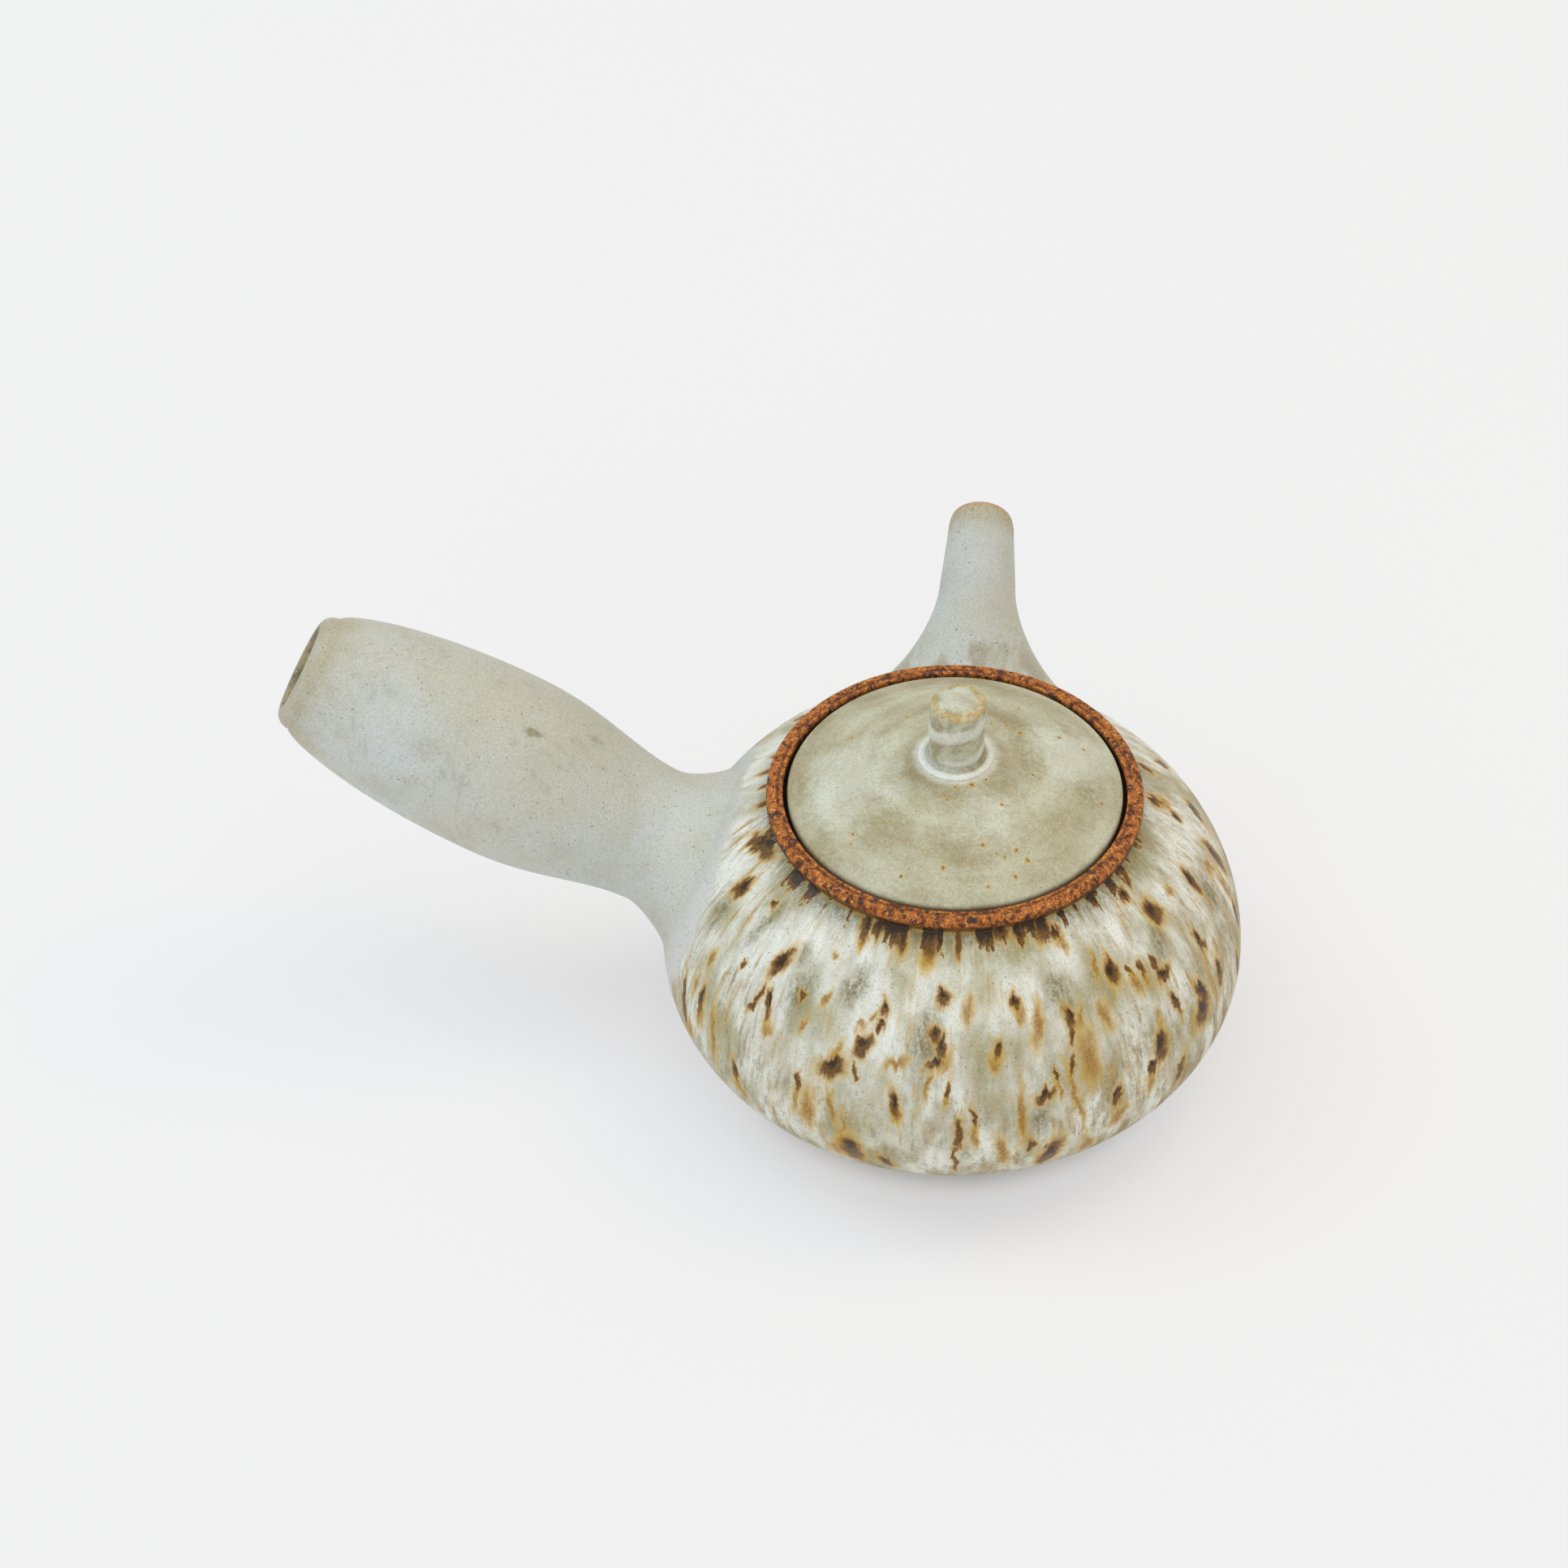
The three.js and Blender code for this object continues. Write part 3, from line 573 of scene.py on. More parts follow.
class Coat:
    """A material's nodes, written as sums. Places are in millimetres in the part's own frame."""

    def __init__(self, name):
        self.material = bpy.data.materials.new(name)
        self.material.use_nodes = True
        self.tree = self.material.node_tree
        self.shader = self.tree.nodes["Principled BSDF"]
        self.place = self.vector("SCALE", self.node("TexCoord", output="Object"), {"Scale": 1 / MM})
        split = self.tree.nodes.new("ShaderNodeSeparateXYZ")
        self.feed(split.inputs[0], self.place)
        self.x, self.y, self.z = (Value(self, socket) for socket in split.outputs)
        self.radius = (self.x * self.x + self.y * self.y) ** 0.5

    def node(self, kind, settings=None, inputs=None, output=0):
        """Adds a node. Its inputs are numbers, colours or values, by name or by place."""
        node = self.tree.nodes.new("ShaderNode" + kind)
        for key, setting in (settings or {}).items():
            setattr(node, key, setting)
        for key, given in (inputs or {}).items():
            self.feed(node.inputs[key], given)
        return Value(self, node.outputs[output])

    def feed(self, socket, given):
        if isinstance(given, Value):
            self.tree.links.new(given.socket, socket)
        else:
            socket.default_value = given

    def maths(self, operation, *operands):
        return self.node("Math", {"operation": operation}, dict(enumerate(operands)))

    def vector(self, operation, first, others=None, output=0):
        """A vector sum. Its other operands are one vector or value, or several by name or by place."""
        others = others if isinstance(others, dict) else {1: others}
        inputs = {0: first, **others}
        given = {key: operand for key, operand in inputs.items() if operand is not None}
        return self.node("VectorMath", {"operation": operation}, given, output)

    def length(self, vector):
        return self.vector("LENGTH", vector, output="Value")

    def dot(self, first, second):
        return self.vector("DOT_PRODUCT", first, second, "Value")

    def joined(self, x, y, z):
        return self.node("CombineXYZ", None, {0: x, 1: y, 2: z})

    def blend(self, share, below, above):
        """A colour laid over another."""
        return self.node("Mix", {"data_type": "RGBA"}, {0: share, 6: below, 7: above}, 2)

    def noise(self, size, detail=2, roughness=0.5, where=None, output=0):
        """Soft noise from 0 to 1 whose lumps are about size millimetres across."""
        vector = self.place if where is None else where
        given = {"Vector": vector, "Scale": 1 / size, "Detail": detail, "Roughness": roughness}
        return self.node("TexNoise", None, given, output)

    def sway(self, amount, size, detail=2, roughness=0.5, where=None):
        """Soft noise about 0, by up to half the amount each way."""
        return (self.noise(size, detail, roughness, where) - 0.5) * amount

    def specks(self, size, reach):
        """1 in the middle of scattered specks and 0 away from them. Reach is their radius over size."""
        given = {"Vector": self.place, "Scale": 1 / size}
        return self.node("TexVoronoi", {"feature": "F1"}, given, "Distance").fade(reach, reach / 3)

    def shifted(self, vector, amount, size):
        """A vector pushed about by noise, by up to half the amount each way."""
        centred = self.vector("SUBTRACT", self.noise(size, output="Color"), (0.5, 0.5, 0.5))
        return self.vector("ADD", vector, self.vector("SCALE", centred, {"Scale": amount}))

    def bump(self, height, depth, below=None):
        """A raised surface whose height of 1 stands depth millimetres proud."""
        given = {"Height": height, "Distance": depth * MM, "Strength": 1}
        if below is not None:
            given["Normal"] = below
        return self.node("Bump", None, given)

    def finish(self, colour, roughness, normal, sheen):
        names = ("Base Color", "Roughness", "Normal", "Specular IOR Level")
        for name, given in zip(names, (colour, roughness, normal, sheen)):
            self.feed(self.shader.inputs[name], given)
        return self.material


# Glaze colours
WHITE = tint(230, 231, 221)
PEARL = tint(230, 232, 222)
CELADON = tint(169, 163, 126)
BEIGE = tint(149, 125, 62)
DOVE = tint(197, 202, 200)
DOVE_WARM = tint(196, 195, 183)
SMUDGE = tint(176, 171, 148)
GRAIN = tint(154, 148, 120)
BLUSH = tint(218, 211, 208)
MOSS = tint(106, 96, 50)
SMOKE = tint(108, 92, 40)
STRAW = tint(201, 166, 74)
OCHRE = tint(147, 96, 4)
UMBER = tint(84, 52, 4)
IRON = tint(38, 22, 8)
SPECK = tint(84, 78, 64)
TAUPE = tint(138, 122, 88)
WISP = tint(146, 146, 130)
SAND = tint(186, 126, 70)
FAWN = tint(166, 150, 112)
LID_PALE = tint(197, 197, 172)
LID_BEIGE = tint(147, 131, 86)
LID_WHITE = tint(214, 217, 204)

# Bare clay colours
RUST = tint(168, 94, 34)
RUST_PALE = tint(228, 164, 82)
RUST_DARK = tint(84, 42, 20)
CHAR = tint(46, 38, 40)

# Relief in mm, and how surfaces take the light
SLOW_RELIEF, PEEL_RELIEF, THROWN_RELIEF = 0.12, 0.022, 0.03
CLAY_RELIEF, GRIT_RELIEF, PAPER_RELIEF = 0.14, 0.16, 0.02
GLAZE_SHEEN, PALE_SHEEN, CLAY_SHEEN, PAPER_SHEEN = 0.35, 0.3, 0.25, 0.1
DRY_ROUGHNESS = 0.9

# Where the plain glaze begins and is whole, in mm: from the two axes, and inward through the pot's wall
PLAIN_BY_HANDLE = (27.5, 24.5)
PLAIN_BY_SPOUT = (27, 22)
PLAIN_INSIDE = (BODY_RADIUS - 1.4, BODY_RADIUS - 2.4)

# The wall's chart and the marks on it
CHART_RADIUS = 50
RIM_EDGE_HEIGHT = BODY_HEIGHT - 1.75
RIM_EDGE_CLIMB = CHART_RADIUS * math.atan2(RIM_EDGE_HEIGHT - EQUATOR_HEIGHT, RIM_RADIUS)
LEAN_STEP = 12
RUN_SPREAD = 1.32
CORED_WIDTH = 1.3

# The lid's pale clouds: middle and reach in mm. Its spiral: mm to a turn, and where it starts in radians
LID_PALE_PLACES = ((-19, -5, 12), (7, -13, 8), (21, 6, 11))
LID_SPIRAL_PITCH = 12
LID_SPIRAL_START = 1.2

# The paper on the table. It gives off no light of its own under the pot, which is painted shade: the pot's
# contact shadow shows darker there
PAPER = (0.87, 0.85, 0.805, 1)
PAPER_DULL = (0.86, 0.842, 0.8, 1)
PAPER_SEEN = tint(238, 238, 242)
PAPER_GLOW = 0.6
PAPER_SHADE_REACH = (34, 46)

# The stage in metres, and its lights: name, place, size, power in watts, colour
TABLE_REACH = 4
LIGHTS_AIM = (0, 0, 0.03)
LIGHTS = (
    ("window_left", (-0.95, 0.15, 1.35), 0.8, 6.6, (0.58, 0.8, 1)),
    ("lamp_right", (0.7, 0.4, 1.4), 0.7, 4.8, (1, 0.82, 0.5)),
    ("skylight", (0, -0.1, 1.55), 0.9, 3.6, (1, 0.99, 0.97)),
    ("card_front", (-0.2, -1.4, 0.5), 0.9, 3.2, (0.84, 0.92, 1)),
)
ROOM_COLOUR = (0.97, 0.975, 1, 1)
ROOM_STRENGTH = 0.68

# Crops of the photograph in which the marks in the glaze were read: left, top and enlargement
FRONT_LEFT = (800, 1080, 3.92)
FRONT_RIGHT = (1150, 1080, 3.92)
RIGHT_SIDE = (1250, 850, 5.058)
UNDER_RIM = (850, 700, 2.24)

# The marks in each crop, in its own pixels: upper end x and y, lower end x and y, width
DARK_SEEN = {
    FRONT_LEFT: (
        (490, 30, 410, 75, 50), (690, 360, 590, 455, 50), (750, 545, 735, 585, 30),
        (550, 535, 485, 645, 20), (580, 560, 570, 670, 28), (270, 535, 240, 650, 20),
        (178, 510, 172, 690, 12), (462, 408, 440, 440, 16), (610, 120, 590, 150, 28),
        (412, 900, 425, 980, 18), (725, 960, 710, 1030, 24), (930, 900, 830, 940, 80),
        (995, 912, 1000, 960, 20), (1060, 760, 1005, 850, 55), (1110, 700, 1125, 740, 35),
        (1140, 605, 1145, 680, 34), (1055, 185, 1035, 310, 45), (1105, 200, 1115, 280, 58),
        (1225, 250, 1215, 365, 55), (1385, 225, 1345, 400, 62), (1495, 240, 1488, 380, 26),
        (1424, 368, 1422, 386, 16), (1435, 555, 1405, 615, 55), (1365, 735, 1385, 790, 40),
        (1405, 780, 1410, 880, 40), (1400, 880, 1350, 930, 40), (1185, 1050, 1190, 1150, 38),
        (1437, 1008, 1430, 1060, 20), (1502, 1195, 1490, 1300, 32), (1482, 1320, 1469, 1410, 22),
        (975, 1280, 985, 1350, 60), (1120, 1350, 1160, 1390, 20),
    ),
    FRONT_RIGHT: (
        (385, 565, 395, 630, 42), (645, 640, 680, 740, 42), (670, 740, 672, 800, 30),
        (668, 868, 658, 950, 20), (580, 935, 595, 985, 18), (565, 1030, 515, 1090, 50),
        (315, 780, 310, 850, 36), (185, 1130, 205, 1210, 24), (472, 1275, 468, 1320, 24),
        (585, 1290, 530, 1375, 36), (900, 1010, 880, 1100, 28), (1065, 890, 1050, 960, 26),
        (1095, 760, 1100, 880, 46), (1275, 520, 1320, 590, 34), (1300, 590, 1300, 700, 44),
        (845, 415, 885, 520, 48), (930, 440, 965, 480, 18), (990, 425, 1025, 470, 22),
        (1055, 408, 1085, 450, 22), (1130, 445, 1090, 500, 46), (1022, 130, 1105, 210, 54),
        (892, 52, 930, 110, 36), (575, 235, 600, 300, 50), (515, 205, 535, 310, 62),
        (415, 220, 400, 290, 52), (325, 225, 300, 300, 80), (215, 225, 205, 270, 60),
        (1150, 570, 1190, 650, 26), (1368, 410, 1392, 500, 18), (1262, 278, 1312, 350, 26),
        (1205, 870, 1175, 980, 14),
    ),
    RIGHT_SIDE: (
        (1190, 965, 1300, 1095, 24), (1075, 695, 1170, 815, 17), (995, 765, 1030, 820, 26),
        (845, 665, 905, 720, 40), (785, 460, 850, 515, 20), (1060, 1130, 1150, 1250, 34),
        (665, 1110, 710, 1215, 26),
    ),
    UNDER_RIM: (
        (185, 740, 230, 800, 34), (172, 735, 205, 790, 30),
    ),
}
OCHRE_SEEN = {
    FRONT_LEFT: (
        (575, 690, 565, 755, 45), (235, 490, 215, 560, 14), (312, 640, 308, 830, 20),
        (425, 980, 455, 1050, 18), (710, 1030, 698, 1110, 28), (920, 810, 890, 890, 28),
        (1110, 650, 1070, 680, 30), (1045, 700, 1005, 720, 28), (880, 540, 842, 615, 20),
        (760, 690, 722, 765, 22), (900, 370, 898, 400, 28), (1030, 310, 1015, 350, 24),
        (1345, 390, 1330, 455, 36), (1440, 860, 1400, 950, 40), (1360, 960, 1325, 1070, 24),
        (1545, 600, 1535, 690, 46), (1235, 890, 1145, 920, 45), (1190, 1130, 1190, 1180, 40),
        (1432, 1060, 1425, 1110, 20), (935, 1270, 900, 1325, 60), (942, 1160, 930, 1260, 22),
        (868, 1040, 888, 1180, 24), (770, 1060, 765, 1180, 54),
    ),
    FRONT_RIGHT: (
        (400, 620, 430, 695, 42), (500, 640, 510, 810, 44), (705, 640, 720, 740, 24),
        (740, 780, 770, 960, 76), (660, 950, 720, 1190, 24), (592, 985, 615, 1080, 20),
        (310, 850, 290, 935, 44), (432, 1050, 420, 1250, 34), (205, 1210, 195, 1300, 32),
        (320, 1280, 335, 1370, 46), (740, 1260, 735, 1310, 34), (920, 1110, 870, 1190, 30),
        (1055, 960, 1048, 1030, 30), (960, 480, 1000, 560, 44), (1020, 470, 1045, 530, 20),
        (600, 300, 645, 350, 40), (1135, 50, 1155, 80, 30), (820, 620, 845, 720, 55),
        (760, 360, 790, 480, 22),
    ),
    RIGHT_SIDE: (
        (900, 660, 950, 740, 40), (1270, 1150, 1360, 1330, 17), (1190, 1080, 1230, 1130, 32),
    ),
}
SMOKE_SEEN = {
    FRONT_LEFT: (
        (420, 80, 300, 230, 60), (790, 470, 670, 630, 110), (765, 320, 735, 430, 45),
        (640, 155, 480, 290, 40), (1060, 450, 940, 610, 110), (1370, 620, 1300, 960, 130),
    ),
    FRONT_RIGHT: (
        (535, 1110, 525, 1230, 70), (560, 480, 640, 620, 130), (1060, 240, 1110, 400, 60),
    ),
    RIGHT_SIDE: (
        (1160, 1180, 1260, 1330, 70),
    ),
}

# Marks out of sight or at the outline: degrees from the front, climb, width and length in mm, degrees of lean
DARK_UNSEEN = (
    (84, 2.3, 1.5, 4.6, 4), (91, 8.8, 2.1, 4.2, -8), (99, -3.1, 1.7, 6.1, 6), (104, 12.5, 1.3, 3.6, -12),
    (112, 5.4, 2.4, 4.4, 10), (117, 16.8, 1.6, 5.2, -6), (121, 27.2, 2.0, 3.9, 14),
    (126, 1.2, 1.2, 5.0, -3), (-129, 33.0, 2.4, 3.2, 12), (-135, 25.0, 1.0, 2.4, -14),
    (-140, 22.6, 1.9, 2.9, 24), (-132, 7.4, 2.9, 5.4, 5), (-146, 4.0, 1.1, 3.1, -7),
    (-126, -4.0, 1.1, 5.8, 12), (-141, -9.0, 2.2, 4.0, -5), (-101, 38.0, 1.5, 4.4, -3),
    (-94, 38.2, 1.2, 3.2, 5), (-86, 38.4, 1.6, 3.4, -4), (-108, 38.6, 1.2, 3.6, 3),
)
OCHRE_UNSEEN = (
    (108, 8.0, 2.0, 5.0, -4), (119, -2.0, 1.6, 4.2, 8), (-137, 14.5, 1.7, 4.6, 6),
    (-135, -2.6, 1.9, 5.4, -6), (-58, 16.5, 1.6, 3.3, 0), (-56, 4.5, 2.2, 4.2, 0), (-60, -1.5, 2.5, 4.0, 0),
)

# Brown spots on the lid: x and y read off the photograph in its pixels, and size in mm
LID_SPOTS_SEEN = (
    (1197, 967, 0.75), (1177, 970, 0.4), (1215, 961, 0.3), (1255, 873, 0.4), (1222, 892, 0.35),
    (1240, 894, 0.45), (1257, 903, 0.6), (1117, 883, 0.35), (1273, 955, 0.35), (1305, 909, 0.5),
    (1335, 924, 0.4), (1358, 990, 0.5), (1235, 991, 0.45), (1211, 1041, 0.6), (1252, 1048, 0.5),
    (1238, 1057, 0.35), (1266, 1060, 0.6), (1251, 1081, 0.45), (1110, 1080, 0.45), (1162, 1069, 0.55),
    (1218, 1093, 0.4), (1051, 1028, 0.45), (1049, 1040, 0.35), (1096, 1012, 0.35), (1167, 985, 0.35),
    (1050, 909, 0.35),
)

# Smudges on the handle: x and y in the photograph's pixels, the barrel's radius and half sizes in mm, strength
HANDLE_SPOTS_SEEN = (
    (657, 903, 17.4, (2, 1, 1.2), 0.85),
    (738, 912, 16.5, (2.4, 0.7, 0.9), 0.35),
    (703, 1018, 17, (0.7, 0.6, 0.6), 0.5),
)
HANDLE_SPOT_TURN = 0.42

# Where the camera stands and how it is turned
rise, swing = math.radians(CAMERA_RISE), math.radians(CAMERA_TURN)
BACKWARD = np.array([math.sin(swing) * math.cos(rise), -math.cos(swing) * math.cos(rise), math.sin(rise)])
RIGHTWARD = np.array([math.cos(swing), math.sin(swing), 0])
UPWARD = np.cross(BACKWARD, RIGHTWARD)
EYE = np.array(CAMERA_AIM) + CAMERA_DISTANCE * BACKWARD


def first_met(x, y, centre, shape):
    """Where the camera's line through a pixel first meets the form that shape turns into a unit ball or tube."""
    middle = PHOTO_WIDTH / 2
    way = (x - middle) * RIGHTWARD + (middle - y) * UPWARD - PIXELS_PER_MM * CAMERA_DISTANCE * BACKWARD
    start, step = shape @ (EYE - centre), shape @ way
    slope, steep = start @ step, step @ step
    depth = max(slope**2 - steep * (start @ start - 1), 0)
    return EYE - way * (slope + math.sqrt(depth)) / steep


def seen_on_wall(x, y):
    def met(half):
        shape = np.diag([1 / BODY_RADIUS, 1 / BODY_RADIUS, 1 / OUTSIDE[half]])
        return first_met(x, y, [0, 0, EQUATOR_HEIGHT], shape)

    return met("above") if met("above")[2] >= EQUATOR_HEIGHT else met("below")


def seen_on_lid(x, y):
    return first_met(x, y, [0, 0, SEAT_HEIGHT + DOME_CENTRE], np.eye(3) / DOME_RADIUS)


def seen_on_handle(x, y, radius):
    return first_met(x, y, handle_axis.origin, np.array([handle_axis.side, handle_axis.upper]) / radius)


def charted(place):
    """A place on the wall as its angle from the front in radians and its climb above the belly in mm."""
    x, y, z = place
    return math.atan2(x, -y), CHART_RADIUS * math.atan2(z - EQUATOR_HEIGHT, math.hypot(x, y))


def marks_seen(readings):
    """Marks as angle, climb, width, length and lean, worked out from what was read in the photograph."""
    marks = []
    for (left, top, enlarged), rows in readings.items():
        for x0, y0, x1, y1, width in rows:
            ends = np.array([(x0, y0), (x1, y1)]) / enlarged + (left, top)
            run = ends[1] - ends[0]
            beside = np.array([-run[1], run[0]]) / np.linalg.norm(run) * width / enlarged / 2
            sides = [seen_on_wall(*(ends.mean(axis=0) + share * beside)) for share in (-1, 1)]
            upper, lower = seen_on_wall(*ends[0]), seen_on_wall(*ends[1])
            wide = float(np.linalg.norm(sides[1] - sides[0]))
            long = max(float(np.linalg.norm(upper - lower)), wide)
            (upper_angle, upper_climb), (lower_angle, lower_climb) = charted(upper), charted(lower)
            out = (math.hypot(*upper[:2]) + math.hypot(*lower[:2])) / 2
            lean = math.degrees(math.atan2((lower_angle - upper_angle) * out, upper_climb - lower_climb))
            angle = math.degrees(upper_angle + lower_angle) / 2
            marks.append((angle, (upper_climb + lower_climb) / 2, wide, long, (lean + 90) % 180 - 90))
    return marks


def chart_of(coat):
    """Where a point is on the pot's wall: round from the front and up from the belly, as millimetres."""
    angle = coat.maths("ARCTAN2", coat.x, coat.y * -1)
    climb = coat.maths("ARCTAN2", coat.z - EQUATOR_HEIGHT, coat.radius) * CHART_RADIUS
    return coat.joined(angle * CHART_RADIUS, climb, 0), climb


def drum_of(coat, climb, stretch):
    """The wall rolled into a drum, with its height drawn in so that noise on it runs down the pot."""
    across = CHART_RADIUS / coat.radius.at_least(1)
    return coat.joined(coat.x * across, coat.y * across, climb / stretch)


def nearest(coat, chart, marks):
    """0 in the middle of the nearest mark, 1 at its edge and more beyond."""
    leaning = {}
    for angle, climb, width, length, lean in marks:
        leaning.setdefault(round(lean / LEAN_STEP) * LEAN_STEP, []).append((angle, climb, width, length))

    def distances():
        for lean, group in leaning.items():
            level, steep = math.cos(math.radians(lean)), math.sin(math.radians(lean))
            along, up = coat.dot(chart, (level, steep, 0)), coat.dot(chart, (-steep, level, 0))
            leant = coat.joined(along, up, 0)
            for angle, climb, width, length in group:
                across = math.radians(angle) * CHART_RADIUS
                drawn_out = CHART_RADIUS / (BODY_RADIUS * math.cos(climb / CHART_RADIUS))
                spread = 2 / (RUN_SPREAD * width * drawn_out)
                reach = 2 / (RUN_SPREAD * length)
                middle = -(across * level + climb * steep), across * steep - climb * level
                scaled = (middle[0] * spread, middle[1] * reach, 0)
                yield coat.length(coat.vector("MULTIPLY_ADD", leant, {1: (spread, reach, 1), 2: scaled}))

    return functools.reduce(Value.at_most, distances())


def off_axis(coat, branch):
    """How far a point is from a branch's axis, and how far out along it."""
    from_start = coat.vector("SUBTRACT", coat.place, tuple(branch.origin))
    spread = coat.length(coat.vector("CROSS_PRODUCT", from_start, tuple(branch.axis)))
    return spread, coat.dot(from_start, tuple(branch.axis))


def upper_of(coat, branch):
    """How far a point is above a branch's axis, square to it."""
    return coat.dot(coat.place, tuple(branch.upper)) - float(branch.origin @ branch.upper)


def dusted(coat, colour, amount=1):
    """A glaze colour with its fine grain and its scattered iron specks."""
    grain = coat.noise(0.42, 2, 0.7)
    colour = coat.blend(grain.fade(0.5, 0.72) * 0.42, colour, GRAIN)
    colour = colour.under(grain.fade(0.5, 0.3) * 0.22, PEARL)
    crowd = coat.noise(11).fade(0.34, 0.56)
    fine = coat.specks(1.4, 0.15) * crowd
    coarse = coat.specks(4.2, 0.055)
    return colour.under((fine * 0.8 + coarse * 0.9).at_most(1) * amount, SPECK)


def plain_glaze(coat):
    """The grey-white glaze of the handle and the spout, which runs on over the pot beside their feet."""
    colour = coat.blend(coat.noise(24, 3, 0.55).fade(0.3, 0.7), DOVE, DOVE_WARM)
    colour = colour.under(coat.noise(7, 3).fade(0.42, 0.8) * 0.45, SMUDGE)
    beside_spout = off_axis(coat, spout_axis)[0].fade(30, 24)
    at_the_back = coat.y.fade(-8, 16) * coat.x.fade(-88, -70) * (1 - beside_spout)
    colour = colour.under(at_the_back * 0.42, SMUDGE)
    spread, along = off_axis(coat, handle_axis)
    band = spread.fade(17.5, 23) * along.fade(62, 48) * coat.x.fade(-5, -20)
    colour = colour.under(band * coat.y.fade(24, 0) * 0.75, BLUSH)
    # The spout is warmer, most of all on its right, where the extra warmth is painted warm light; there are
    # brown runs on top of its root
    spread, along = off_axis(coat, spout_axis)
    around_spout = spread.fade(30, 20) * along.fade(22, 34)
    painted_warm_right = (coat.x + coat.sway(8, 8, 3)).fade(-4, 9)
    colour = colour.under(around_spout * (0.22 + painted_warm_right * 0.22), SMUDGE)
    combed = coat.vector("MULTIPLY", coat.place, (1, 0.3, 0.3))
    below_tip = SPOUT_TIP_ALONG - along
    root = (below_tip - coat.sway(4, 0.9, where=combed)).fade(23.5, 26) * below_tip.fade(36, 31)
    root = root * upper_of(coat, spout_axis).fade(1, 6) * spread.fade(26, 16)
    patches = coat.noise(4.2, where=combed).fade(0.42, 0.56)
    return colour.under(root * patches * (0.3 + coat.noise(0.7, 2, 0.6) * 0.4), TAUPE)


def glaze_skin(coat):
    """The glaze's own surface: slow unevenness under a fine orange peel."""
    peel = coat.noise(0.9, 3, 0.6)
    return coat.bump(peel, PEEL_RELIEF, coat.bump(coat.noise(7), SLOW_RELIEF))


def clay_colour(coat):
    """Dry rust-brown clay with sandy grains and burnt dark flecks, and the noise of its grains."""
    grain = coat.noise(0.5, 3, 0.7)
    patches = coat.noise(1.4, 3, 0.7)
    colour = coat.blend(patches.fade(0.34, 0.54), RUST_DARK, RUST)
    colour = colour.under(grain.fade(0.5, 0.64) * patches.fade(0.4, 0.56), RUST_PALE)
    elsewhere = coat.vector("ADD", coat.place, (31, 17, 5))
    burnt = coat.noise(1.7, 3, 0.6, elsewhere)
    return colour.under(burnt.fade(0.55, 0.62) * 0.85, CHAR), grain


